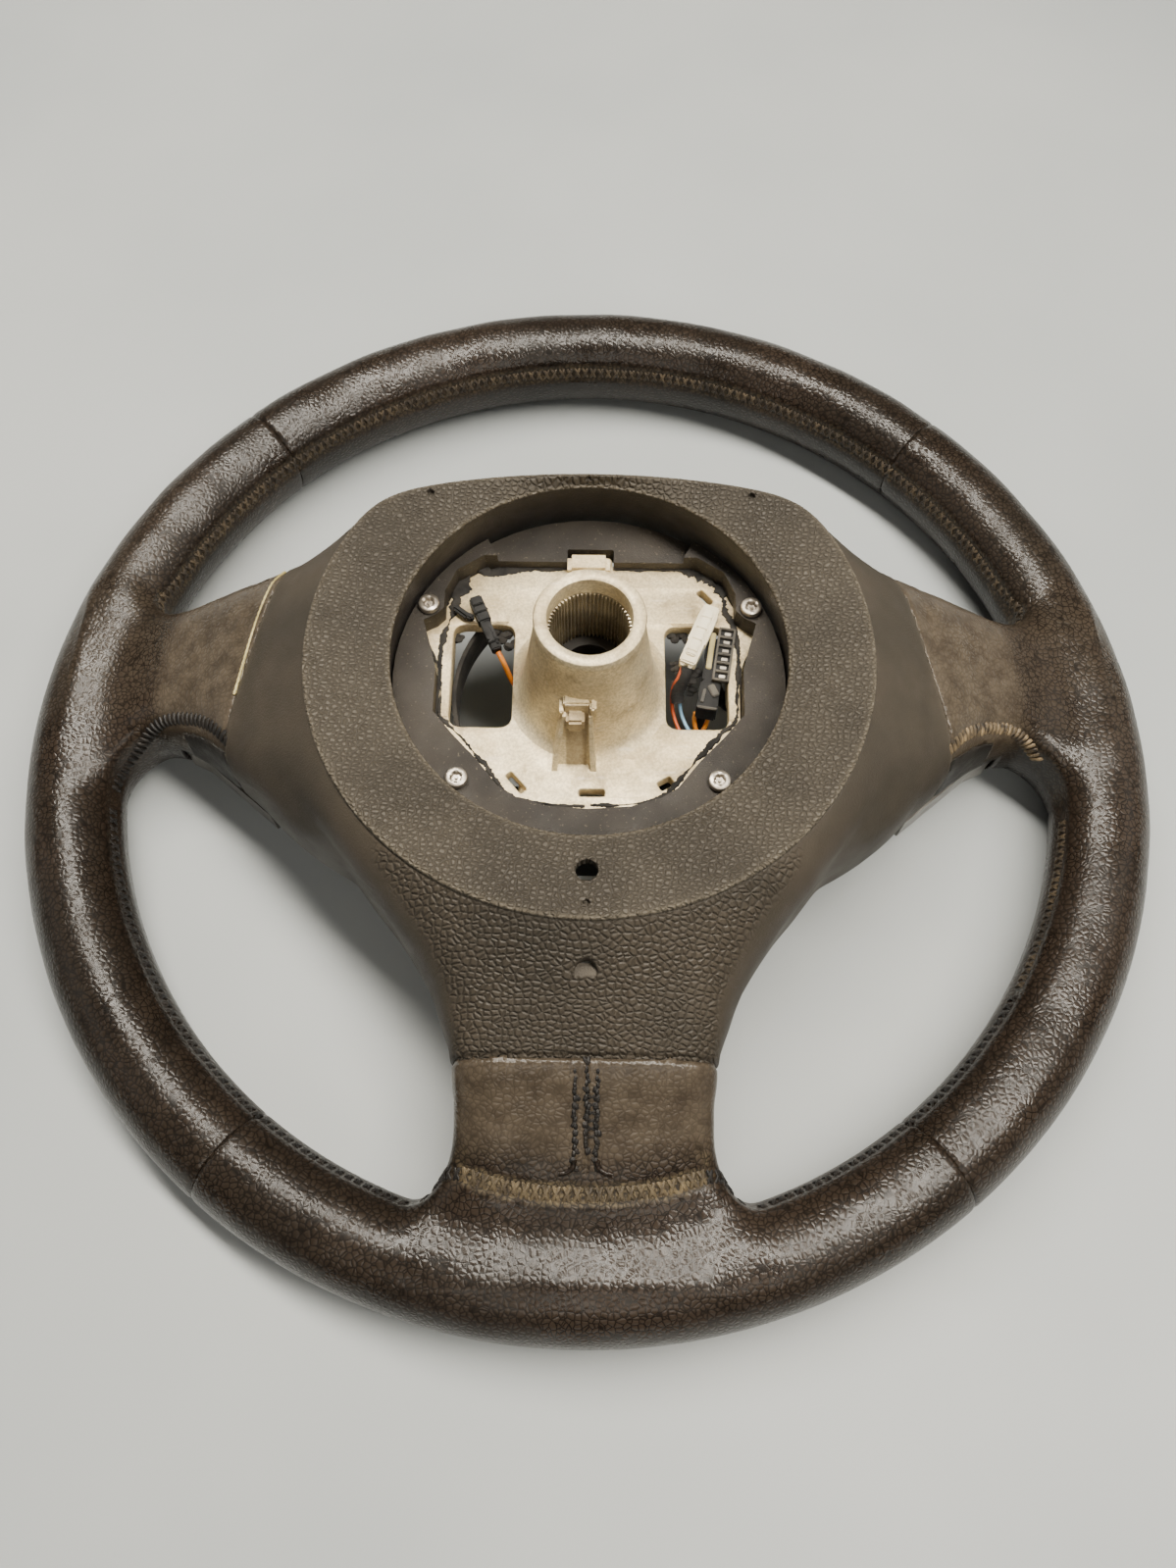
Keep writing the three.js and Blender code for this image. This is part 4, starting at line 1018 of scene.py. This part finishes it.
class Builder:
    """Collects closed shells and makes one mesh of them."""

    def __init__(self):
        self.points, self.faces, self.count = [], [], 0

    def shell(self, points, faces):
        self.points.append(np.asarray(points, float))
        self.faces += [tuple(i + self.count for i in f) for f in faces]
        self.count += len(points)

    def loft(self, rings):
        n = len(rings[0])
        points, faces = ring_strip([np.array(r, float) for r in rings], closed_profile=False)
        faces = list(faces)
        faces.append(tuple(range(n - 1, -1, -1)))
        faces.append(tuple(range((len(rings) - 1) * n, len(rings) * n)))
        self.shell(points, faces)

    def block(self, size, place, degrees=0.0, bevel=0.35):
        """A box with rounded edges and corners, turned about the vertical."""
        bm = bmesh.new()
        bmesh.ops.create_cube(bm, size=1)
        bmesh.ops.scale(bm, vec=size, verts=bm.verts)
        bmesh.ops.bevel(bm, geom=bm.edges[:], offset=min(bevel, min(size) * 0.3), segments=2, affect="EDGES")
        bm.transform(Matrix.Translation(place) @ Matrix.Rotation(math.radians(degrees), 4, "Z"))
        bm.verts.index_update()
        self.shell([tuple(v.co) for v in bm.verts], [tuple(v.index for v in f.verts) for f in bm.faces])
        bm.free()

    def make(self, name, material, slot):
        obj = piece_from(name, np.concatenate(self.points), self.faces, material)
        bm = bmesh.new()
        bm.from_mesh(obj.data)
        bmesh.ops.recalc_face_normals(bm, faces=bm.faces)
        bm.to_mesh(obj.data)
        bm.free()
        soften(obj)
        return obj


def arm_rings(stations, place):
    shape = [(-1, -0.55), (-0.82, -1), (0.82, -1), (1, -0.55), (0.82, 0.62), (0.66, 1), (-0.66, 1),
             (-0.82, 0.62)]
    stations = np.array(stations)
    s = np.linspace(stations[0, 0], stations[-1, 0], 26)
    rows = [np.interp(s, stations[:, 0], stations[:, k]) for k in range(5)]
    return [[place(a, across + u * w, z + v * h) for u, v in shape] for a, across, z, w, h in zip(*rows)]


def lug_ring(near, far, half, y_near, y_far, z):
    """A level four-sided section: its two ends' middles across, its half width and where it ends."""
    return [(near - half, y_near, z), (near + half, y_near, z),
            (far + half, y_far, z), (far - half, y_far, z)]


def add_armature():
    windows = []
    x0, x1, y0, y1, corner = WINDOW
    for side in (1, -1):
        box = [(side * x, y) for x, y in ((x0, y0), (x1, y0), (x1, y1), (x0, y1))]
        windows.append(rounded_polygon(box, corner * 1.2, 7))
    slots = [rounded_polygon(rectangle(*slot), 0.8) for slot in SLOTS]
    plate = flat_solid("armature_plate", [plate_outline(), *windows, *slots], 53, 58, 0.45, CAST)
    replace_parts(plate, "armature_casting")
    body = Builder()
    outer = [(17.5, 46), (19.5, 46.4), (21.5, 50), (24.2, 53), (24.2, 57.4), (26.4, 58.05), (24.6, 58.7),
             (23.2, 59.8), (22.2, 61.8), (21.2, 65), (20.4, 68), (19.5, 73), (18.8, 78), (18.0, 83.5),
             (17.2, 89), (16.7, 93), (16.4, 95.6), (16.5, 96.0), (16.5, 99.4), (16.2, 100.0), (15.5, 100.3)]
    inner = [(13.3, 100.3), (12.6, 99.9), (12.45, 99.2), (12.4, 93.6), (12.9, 93.3), (12.9, 70.3),
             (8.5, 70.0), (8.5, 46.6), (9.0, 46.0)]
    points, faces = lathe(outer + inner, 144)
    points = np.array(points)
    at_window = (np.abs(points[:, 0]) > x0 - 0.1) & (points[:, 2] > 53)
    points[at_window, 0] = np.sign(points[at_window, 0]) * (x0 - 0.1)
    body.shell(points, faces)
    # the lug: two ribs, a back, a top and the block held between them
    for x, lean in ((-8.9, -1.6), (0.7, 1.0)):
        body.loft([lug_ring(x + lean, x + lean * 0.6, 0.9, -30, -15, 57.4),
                   lug_ring(x + 0.2 * lean, x, 0.7, -25.4, -15, 68),
                   lug_ring(x * 0.82, x * 0.82, 0.55, -21.6, -15, 79)])
    body.loft([lug_ring(-4.0, -4.0, 5.4, -27.6, -14, 57.4), lug_ring(-3.8, -3.8, 4.6, -23.4, -14, 68),
               lug_ring(-3.4, -3.4, 3.6, -19.6, -14, 77.5)])
    body.block((8.2, 6.4, 7.0), (-3.5, -16.4, 79.6), 0, 0.6)
    body.block((5.6, 5.0, 6.4), (-4.0, -21.2, 76.0), 0, 0.9)
    body.block((2.0, 7.6, 9.0), (1.3, -17.4, 78.6), 0, 0.8)
    body.block((1.2, 6.4, 7.0), (-8.1, -17.8, 77.4), 0, 0.5)
    body.block((14.2, 7.6, 5.0), (-0.6, 44.9, 59.6), 0, 1.5)
    body.block((11.2, 5.0, 0.5), (-0.6, 44.9, 62.1), 0, 0.2)
    for side in (1, -1):
        body.loft(arm_rings(SIDE_ARM, lambda s, a, z: (side * s, a, z)))
        body.loft(arm_rings(LOWER_ARM, lambda s, a, z: (side * a, -s, z)))
        x = side * (x1 + 0.9)
        body.block((1.3, y1 - y0 - 6, 1.2), (x, (y0 + y1) / 2, 58.2), 0, 0.4)
        body.block((13, 1.2, 1.2), (side * 33, y1 + 1.0, 58.2), 0, 0.4)
    body.make("armature_hub", CAST, "casting")
    core = Builder()
    half = 4.5
    turns = np.linspace(0, 2 * math.pi, 120, endpoint=False)
    core.shell(*ring_strip([circle(RIM_RADIUS + u * half, RIM_HALF_HEIGHT + v * half, turns)
                            for u, v in ((-1, -1), (1, -1), (1, 1), (-1, 1))]))
    core.make("armature_rim_core", CAST, "casting")
    spline = Builder()
    teeth = 60
    turns = np.linspace(0, 2 * math.pi, teeth * 6, endpoint=False)
    wave = np.clip(np.cos(teeth * turns) * 1.6, -1, 1)
    bore = 11.85 - 0.5 * wave
    profile = ((bore, 70.4), (bore, 92.9), (bore + 0.4, 93.4), (13.1, 93.5), (13.1, 70.1), (bore + 0.4, 70.1))
    spline.shell(*ring_strip([circle(r, z, turns) for r, z in profile]))
    spline.make("armature_spline", MACHINED, "casting")


add_armature()

# Moulding skin that crept over the plate, whose dark ribbon is also painted shadow of the gap along the
# plate's edge: x, y and width along the right half, top to bottom.
CREEP_AND_GAP_SHADE = [(7.6, 44.7, 1.4), (18, 44.7, 1.6), (24.6, 44.6, 2.2), (31.7, 44.2, 3.4), (38, 42.8, 4.4),
         (42.2, 38.6, 4.2), (43.9, 33, 3.2), (45.0, 27, 2.3), (46.8, 20, 2.0), (47.6, 13, 1.6),
         (47.4, 4, 1.6), (47, -9, 1.4), (44.6, -13.6, 1.7), (38.6, -20.2, 1.7), (31.8, -28.2, 1.5),
         (25.4, -36.6, 1.7), (19.6, -39.4, 1.3), (10, -41.0, 1.3), (0.5, -41.3, 1.1)]
CRUMBS = [(-28, 20.6, 54.4, 3.4), (-25.8, 17.4, 54, 2.6), (-31.4, 22, 54.6, 2.4), (27, 20.6, 54, 2.6),
          (31, 21.4, 53.8, 2.8), (34.6, 21.6, 53.6, 2.0), (-43.2, 20, 53.6, 2.4), (29.4, 6.4, 57, 2.6),
          (32.4, 4.2, 56.6, 3.0), (27.6, 9.6, 55.4, 2.6), (35.4, 6.4, 54.6, 3.0), (33.2, 0.6, 53.6, 2.6),
          (29.2, 2.6, 54.6, 2.4)]


def ragged_strip(builder, rows, rng, low, high):
    """A torn ribbon along a route whose rows hold x, y and width."""
    line = resample([(x, y, w) for x, y, w in rows], 0.5)
    tangent = unit(np.gradient(line[:, :2], axis=0))
    side = np.stack([-tangent[:, 1], tangent[:, 0]], axis=1)
    walk = [0.0, 0.0]
    rings = []
    for (x, y, w), s in zip(line, side):
        walk = [min(max(v + rng.uniform(-0.22, 0.22), -0.5), 0.5) for v in walk]
        left = w * (0.5 + walk[0]) + rng.uniform(-0.08, 0.08)
        right = w * (0.5 + walk[1]) + rng.uniform(-0.08, 0.08)
        top = high + rng.uniform(-0.12, 0.12)
        at = np.array([x, y])
        a, b, c, d = at + s * left, at + s * left * 0.5, at - s * right * 0.5, at - s * right
        rings.append([(*a, low), (*b, top), (*c, top + rng.uniform(-0.1, 0.1)), (*d, low)])
    builder.loft(rings)


def add_flash():
    """The skin's torn edge on the plate, its dark ribbon also painted shadow of the gap there, crumbs of it
    in the windows, and the wall under the left window.
    """
    rng = random.Random(7)
    shell = Builder()
    for side in (1, -1):
        # The crept skin's dark ribbon is partly painted shadow of the gap at the plate's edge.
        ragged_strip(shell, [(side * x, y, w) for x, y, w in CREEP_AND_GAP_SHADE], rng, 57.9, 58.55)
        edge = [(side * x, y, 0.9) for x, y in PLATE_HALF[:13]]
        ragged_strip(shell, edge, rng, 57.8, 58.35)
    for x, y, z, size in CRUMBS:
        for _ in range(5):
            half = size * rng.uniform(0.35, 0.6)
            place = [c + rng.uniform(-0.5, 0.5) * size for c in (x, y)] + [z + rng.uniform(-0.8, 0.8)]
            shell.loft([[place + half * np.array([math.cos(a) * k, math.sin(a) * k * 0.8, h * 0.6])
                         for a in np.linspace(0, 5.5, 8)]
                        for h, k in ((-1, 0.5), (-0.4, 1), (0.4, 1.05), (1, 0.45))])
    turns = np.radians(np.linspace(126, 221, 40))
    wall = ((42.9, 41), (42.6, 46), (42.9, 52.9), (44.2, 52.9), (44.2, 41))
    shell.loft([[(r * math.cos(a), r * math.sin(a), z) for r, z in wall] for a in turns])
    shell.make("foam_flash", RAGGED, "skin_plastic")


add_flash()

# ---------------------------------------------------------------- screws
SCREWS = [(51.8, 25), (-51.8, 25), (39.6, -36.2), (-39.6, -36.2)]


def add_screws():
    for i, (x, y) in enumerate(SCREWS):
        screw = Builder()
        profile = [(0, 66.3), (1.35, 66.3), (1.55, 67.4), (1.9, 67.72), (2.75, 67.72), (3.2, 67.5),
                   (3.42, 67.0), (3.42, 65.9), (3.3, 65.72), (1.8, 65.7), (1.8, 57.2), (1.4, 56.9), (0, 56.9)]
        screw.shell(*lathe(profile, 60, x, y, ripple={1: 0.14, 2: 0.16}))
        screw.shell(*lathe([(0, 66.2), (0.55, 66.2), (0.55, 66.9), (0.4, 67.05), (0, 67.05)], 20, x, y))
        obj = screw.make("cover_screw_%d_detail" % (i + 1), STEEL, "screw_steel")
        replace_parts(obj, "cover_screw_%d" % (i + 1))


add_screws()


# ---------------------------------------------------------------- leads
def sweep(builder, route, radius, sides=14, pitch=1.0, ripple=0.0):
    """A round tube along a smooth route, with closed ends."""
    line = np.concatenate([resample(route, pitch), [route[-1]]])
    tangent = unit(np.gradient(line, axis=0))
    side = unit(np.cross(tangent[0], (0.31, 0.87, 0.38)))
    turn = np.linspace(0, 2 * math.pi, sides, endpoint=False)[:, None]
    rings = []
    for i, (p, t) in enumerate(zip(line, tangent)):
        side = unit(side - t * side.dot(t))
        r = radius * (1 + ripple * (i % 2))
        rings.append(p + r * (np.cos(turn) * side + np.sin(turn) * np.cross(t, side)))
    builder.loft(rings)


LEADS = {
    "small_connector_lead": (ORANGE, "orange_wire", 0.85, 0.0,
        [(-29.3, 10.4, 61.4), (-27.6, 7.6, 60), (-25.4, 4.8, 54), (-22.9, 1.5, 49), (-24, -10, 44),
         (-38, -12, 39), (-54, -2, 37.4), (-70, 7, 34), (-79, 11, 29), (-83.6, 12, 24.6), (-84, 12, 21.4)]),
    "blue_lead": (BLUE, "blue_wire", 0.62, 0.0,
        [(32, 4.6, 61.4), (31, 2.4, 60), (29.5, 0.4, 54), (30, -4, 48.5), (33.4, -10.4, 46), (40, -15, 42),
         (56, -10, 34), (70, -1, 28.8), (78, 2, 27.2), (82.6, 3.4, 24.6), (83, 3.4, 21.4)]),
    "red_lead": (RED, "red_wire", 0.62, 0.0,
        [(29.6, 5.5, 61.4), (28.6, 3, 60), (26.9, 1, 54), (27.6, -4, 47.5), (30.6, -10.6, 44.6),
         (37, -17.4, 39.6), (54, -14.4, 31.5), (69, -5, 28.2), (77, -2.4, 27),
         (82.6, -1.6, 24.6), (83, -1.5, 21.4)]),
    "jumper_lead": (ORANGE, "orange_wire", 0.75, 0.0,
        [(34.6, -4.8, 50.2), (34.4, -6.0, 47.2), (35.4, -8.6, 44.4), (37.0, -8.8, 44.4), (38.6, -6.4, 47.2),
         (38.8, -5.2, 50.2)]),
    "harness_right": (SLEEVE, "sleeve", 2.4, 0.05,
        [(41.2, 13.5, 48.2), (41.2, 13.4, 45), (44, 8, 38), (54, 4, 33.5), (68, 9, 30.5), (80, 12.4, 28.8),
         (87.4, 13, 25.4), (88, 13, 21.4)]),
    "harness_left": (SLEEVE, "sleeve", 2.4, 0.05,
        [(38.8, 5, 48.2), (38.8, 4.8, 44), (37, -4, 36), (28, -20, 33.5), (10, -30, 33.5), (-10, -31, 33.5),
         (-30, -24, 33.5), (-50, -8, 32), (-68, 2, 30.5), (-80, 6, 28.8), (-87.4, 7, 25.4), (-88, 7, 21.4)]),
    "airbag_retaining_spring": (SPRING, "spring_steel", 0.9, 0.0,
        [(-27, -33, 52), (-27.2, -33.4, 48.6), (-25, -36.6, 46.6), (-18, -40.4, 46), (0, -42, 46),
         (18, -40.4, 46), (25, -36.6, 46.6), (27.2, -33.4, 48.6), (27, -33, 52)]),
}
for lead, (finish, lead_slot, radius, ripple, route) in LEADS.items():
    tube = Builder()
    sweep(tube, route, radius, ripple=ripple)
    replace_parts(tube.make(lead + "_round", finish, lead_slot), lead)


boot = Builder()
sweep(boot, [(31.2, 5.6, 61.2), (30.4, 3.4, 59.4), (28.6, 0.8, 54.4), (28.8, -1.6, 51.6)], 2.1, ripple=0.05)
boot.make("lead_sleeve", SLEEVE, "sleeve")


# ---------------------------------------------------------------- connectors
PLUG = [
    ((4.2, 10, 4.6), (-35.7, 25.4, 61.6), 23, 0.5), ((3.2, 12, 3.6), (-31.9, 16.4, 61.4), 23, 0.4),
    ((3.4, 2.6, 1.0), (-36.6, 27.6, 64.2), 23, 0.3), ((4.6, 0.9, 0.9), (-35.2, 24.2, 64.1), 23, 0.25),
    ((0.8, 7.4, 1.0), (-33.6, 17.0, 63.4), 23, 0.25), ((0.8, 7.4, 1.0), (-30.7, 15.8, 63.4), 23, 0.25),
    ((3.9, 0.9, 1.0), (-30.6, 13.6, 63.4), 23, 0.25), ((2.0, 2.4, 2.8), (-38.9, 23.4, 61.2), 60, 0.5),
    ((6.4, 2.2, 2.4), (-42.0, 26.0, 60.2), -38, 0.9),
]


def put(builder, size, middle, degrees, a, b, z, bevel):
    """A block a along and b across a connector that lies turned about its middle."""
    turn = math.radians(degrees)
    along, across = Vector((-math.sin(turn), math.cos(turn))), Vector((math.cos(turn), math.sin(turn)))
    builder.block(size, (*(Vector(middle) + along * a + across * b), z), degrees, bevel)


def add_connectors():
    plug, ivory, multi, ladder, pins, strip = (Builder() for _ in range(6))
    for row in PLUG:
        plug.block(*row)
    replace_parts(plug.make("small_connector_detail", BLACK, "black_plastic"), "small_connector")
    at = ((35.4, 17), -22.5)
    put(ivory, (5.4, 23, 4.4), *at, 0, 0, 61.4, 0.5)
    put(ivory, (3.2, 18, 1.4), *at, 0, 0, 64, 0.35)
    for k in range(4):
        put(ivory, (3.4, 0.7, 0.6), *at, -7.2 + 4.4 * k, 0, 64.8, 0.2)
    for side in (-1, 1):
        put(ivory, (0.7, 12, 3.0), *at, 3, side * 2.75, 61.4, 0.25)
    for side in (-1, 0.9):
        put(ivory, (1.9, 3.0, 3.2), *at, -10.6, side * 1.4, 60.6, 0.4)
    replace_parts(ivory.make("ivory_connector_detail", IVORY, "ivory_plastic"), "ivory_connector")
    multi.block((5.4, 20.4, 8.8), (40.0, 8.6, 53.4), -6, 0.4)
    at = ((43.4, 11.6), -9)
    put(multi, (5.0, 19.4, 0.8), *at, 0, 0, 58.5, 0.2)
    for side in (-1, 1):
        put(ladder, (0.7, 19.8, 2.0), *at, 0, side * 2.4, 59.1, 0.2)
    for k in range(7):
        put(ladder, (4.4, 0.8, 1.9), *at, -9.5 + 3.17 * k, 0, 59.05, 0.2)
        if k < 6:
            put(pins, (2.0, 1.1, 0.5), *at, -7.9 + 3.17 * k, 0.3, 59.0, 0.12)
    put(multi, (2.6, 17.5, 6.0), *at, -0.4, -4.6, 54.6, 0.4)
    put(strip, (1.8, 13.6, 0.8), *at, 1.6, -4.3, 57.9, 0.25)
    multi.block((6.6, 10, 8.2), (38.2, -2.4, 54.2), -9, 0.5)
    ladder.block((6.2, 0.8, 1.2), (37.4, -7.2, 58.2), -9, 0.25)
    ladder.block((2.4, 4.4, 1.0), (39.6, -1.2, 58.7), 24, 0.3)
    ladder.block((1.0, 5.0, 1.0), (36.4, -3.0, 58.6), -14, 0.25)
    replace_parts(multi.make("multi_pin_connector_detail", BLACK, "black_plastic"), "multi_pin_connector")
    # Painted highlight and dust: the ladder's rails and rungs are a lighter copy of the black plastic.
    ladder.make("multi_pin_ladder", DUST_AND_SHEEN, "black_plastic")
    pins.make("multi_pin_contacts", STEEL, "screw_steel")
    strip.make("multi_pin_keeper", GLUE, "ivory_plastic")


add_connectors()


# ---------------------------------------------------------------- stitching
def surface_frame(line):
    """Along, away from and across the surface, at each point of a line on it."""
    normal, tangent = unit(gradient(line)), unit(np.gradient(line, axis=0))
    return tangent, normal, np.cross(normal, tangent)


def lay_strands(builder, bases, heights, radius, sides=6):
    """Threads laid over the leather: bases is (threads, steps, 3), heights each step's lift."""
    count, steps, _ = bases.shape
    flat = onto_surface(bases.reshape(-1, 3), 5)
    up = unit(gradient(flat))
    points = (flat + up * np.tile(heights, count)[:, None]).reshape(count, steps, 3)
    up = up.reshape(count, steps, 3)
    tangent = unit(np.gradient(points, axis=1))
    side = unit(np.cross(tangent, up))
    up = np.cross(side, tangent)
    turn = np.linspace(0, 2 * math.pi, sides, endpoint=False)[:, None]
    wide, high = np.cos(turn) * 1.25, np.sin(turn) * 0.8
    for k in range(count):
        builder.loft([points[k, i] + radius * (wide * side[k, i] + high * up[k, i]) for i in range(steps)])


def cross_stitches(builder, route, pitch=3.1, half_width=2.6, radius=0.42):
    line = onto_surface(resample(route, pitch), 9)
    tangent, _, across = surface_frame(line)
    share = np.linspace(-1, 1, 5)[None, :, None]
    for lean in (1, -1):
        bases = line[:, None] + across[:, None] * half_width * share
        bases = bases + tangent[:, None] * pitch * 0.42 * share * lean
        lay_strands(builder, bases, np.array([-0.95, -0.2, -0.08, -0.2, -0.95]), radius)


def rib_stitches(builder, route, pitch, half_width, radius=0.45):
    """Short threads straight over the seam."""
    line = onto_surface(resample(route, pitch), 9)
    _, _, across = surface_frame(line)
    share = np.linspace(-1, 1, 5)[None, :, None]
    lay_strands(builder, line[:, None] + across[:, None] * half_width * share,
                np.array([-0.95, -0.15, 0.0, -0.15, -0.95]), radius)


def run_stitches(builder, route, pitch, length, radius, rng, jitter=0.0):
    line = onto_surface(resample(route, pitch), 9)
    tangent, _, across = surface_frame(line)
    share = np.linspace(-0.5, 0.5, 5)[None, :, None]
    wander = np.array([[rng.uniform(-1, 1), rng.uniform(-1, 1)] for _ in line])
    bases = (line + across * jitter * wander[:, :1])[:, None] + tangent[:, None] * length * share
    bases = bases + across[:, None] * jitter * wander[:, None, 1:] * share * 2
    lay_strands(builder, bases, np.array([-0.7, 0.0, 0.12, 0.0, -0.7]), radius)


def add_stitches():
    upper = rim_inner(90, 24) + UPPER_FLANK_ROUTE[::-1]
    thread = Builder()
    for route in (upper, mirror_route(upper)):
        cross_stitches(thread, route)
    thread.make("rim_top_stitches", THREAD_TOP, "leather")
    lower = rim_inner(-11, -64) + FACE_ROUTE[:4]
    dark, thread_right = Builder(), Builder()
    cross_stitches(dark, rim_inner(-34, -64) + FACE_ROUTE[:4])
    cross_stitches(dark, mirror_route(lower))
    cross_stitches(thread_right, rim_inner(-11, -33), 2.6)
    thread_right.make("rim_right_stitches", THREAD_TOP, "leather")
    rib_stitches(dark, mirror_route(LOWER_FLANK_ROUTE), 2.3, 2.6, 0.65)
    rng = random.Random(11)
    for x, start, end in ((-2.6, -122, -146.2), (0.8, -118.8, -141), (3.7, -122, -146.2)):
        for pitch, jitter in ((2.1, 0.25), (2.7, 0.8)):
            route = [(x, start, 58), (x, -132, 49), (x, end, 39.5)]
            run_stitches(dark, route, pitch, 2.2, 0.48, rng, jitter)
    cross_stitches(dark, [(2.2, -122, 57), (2.2, -132, 49), (2.2, -139, 44)], 2.4, 1.5, 0.34)
    dark.make("rim_lower_stitches", THREAD_DARK, "leather")
    face = Builder()
    for route in (FACE_ROUTE[3:], mirror_route(FACE_ROUTE[3:])):
        cross_stitches(face, route, 3.0, 3.0, 0.5)
    face.make("spoke_face_stitches", THREAD, "leather")
    flank = Builder()
    rib_stitches(flank, LOWER_FLANK_ROUTE[:8], 2.1, 2.6, 0.62)
    flank.make("right_flank_stitches", THREAD_FLANK, "leather")
    curls = Builder()
    for side, x in ((-1, -2.8), (1, 4.1)):
        line = onto_surface(np.array([(x - side * 0.2, -143.5, 42), (x + side * 0.3, -145.6, 41),
                                      (x + side * 2.2, -146.6, 40), (x + side * 4.2, -146.8, 39.5)]), 6)
        _, normal, _ = surface_frame(line)
        sweep(curls, line + normal * 0.1, 0.8, sides=10, pitch=0.6)
    curls.make("spoke_seam_curls", LEATHER, "leather")
    glue = Builder()
    line = [(-(seam_x(y) + 0.1), y, 60) for y in (40, 32, 22, 12, 2, -8)]
    snapped = onto_surface(resample(line, 1.2), 9)
    sweep(glue, snapped[::3] - np.array([0, 0, 0.15]), 0.42, sides=8, ripple=0.35)
    glue.make("glue_line", GLUE, "leather")


add_stitches()

# ---------------------------------------------------------------- finishes of the nodes kept from the frame
POD = {"switch_housing": (BLACK, 0.5), "rocker": (BUTTON, 0.5), "upper_button": (BUTTON, 0.5),
       "lower_button": (BUTTON, 0.5), "switch_board": (BOARD, 0.0), "switch_screw": (STEEL, 0.0),
       "spoke_trim": (SILVER, 0.35)}
KEPT = {"rim_foam": (FOAM, 0.0), "well_floor_skin": (SKIN, 0.5)}
for side in ("right", "left"):
    KEPT.update({side + "_" + part: look for part, look in POD.items()})
for node, (finish, bevel) in KEPT.items():
    obj = frame["nodes"][node]
    obj.data.materials.clear()
    obj.data.materials.append(finish)
    if bevel:
        edge = obj.modifiers.new("edge", "BEVEL")
        edge.width = bevel * MM
        edge.segments = 3
        edge.limit_method = "ANGLE"
        edge.angle_limit = math.radians(32)

# ---------------------------------------------------------------- floor, lights and camera
floor_mesh = new_mesh("floor", [(-4, -3, 0), (4, -3, 0), (4, 5, 0), (-4, 5, 0)], [(0, 1, 2, 3)])
floor = add_object("floor", floor_mesh)
shade = Shade("pale_floor")
shade.set(Base_Color=shade.mix(shade.patches(3.0, 4.0), tone(166, 172, 174), tone(178, 183, 184)),
          Roughness=shade.patches(8.0, 3.0, to=(0.55, 0.7)))
floor_mesh.materials.append(shade.material)
floor.location.z = -0.0003

world = bpy.data.worlds.new("studio")
scene.world = world
world.use_nodes = True
sky = world.node_tree.nodes["Background"].inputs
sky["Color"].default_value = (1.0, 0.95, 0.88, 1)
sky["Strength"].default_value = 0.1


def area_light(name, place, target, size, power, color):
    data = bpy.data.lights.new(name, "AREA")
    data.shape = "RECTANGLE"
    data.size, data.size_y = size
    data.energy = power
    data.color = color
    light = add_object(name, data)
    light.location = place
    light.rotation_euler = (Vector(target) - Vector(place)).to_track_quat("-Z", "Y").to_euler()
    return light


overhead = area_light("overhead", (0.15, 0.16, 1.25), (0, 0.02, 0), (2.2, 0.18), 52, (1.0, 0.93, 0.82))
overhead.rotation_euler.rotate_axis("Z", math.radians(9))
area_light("fill_front", (0.1, -1.0, 1.0), (0, 0, 0.05), (1.2, 0.3), 4, (1.0, 0.94, 0.84))
area_light("fill_left", (-1.5, -0.2, 0.9), (0, 0, 0.02), (0.8, 0.8), 1.6, (1.0, 0.95, 0.88))
area_light("fill_right", (1.5, 0.5, 1.0), (0, 0, 0.02), (0.8, 0.8), 2.0, (1.0, 0.95, 0.88))

elevation, roll = math.radians(66.11), math.radians(0.69)
forward = Vector((0, math.cos(elevation), -math.sin(elevation)))
right = forward.cross(Vector((0, 0, 1))).normalized()
up = right.cross(forward)
right_rolled = math.cos(roll) * right + math.sin(roll) * up
up_rolled = -math.sin(roll) * right + math.cos(roll) * up
camera = add_object("camera", bpy.data.cameras.new("camera"))
camera.data.sensor_fit = "AUTO"
camera.data.sensor_width = 36
camera.data.lens = 27.017
camera.data.clip_start = 0.01
axes = Matrix((right_rolled, up_rolled, -forward)).transposed()
camera.matrix_world = Matrix.Translation((0.00003, -0.1807, 0.38935)) @ axes.to_4x4()
scene.camera = camera

bpy.context.view_layer.update()
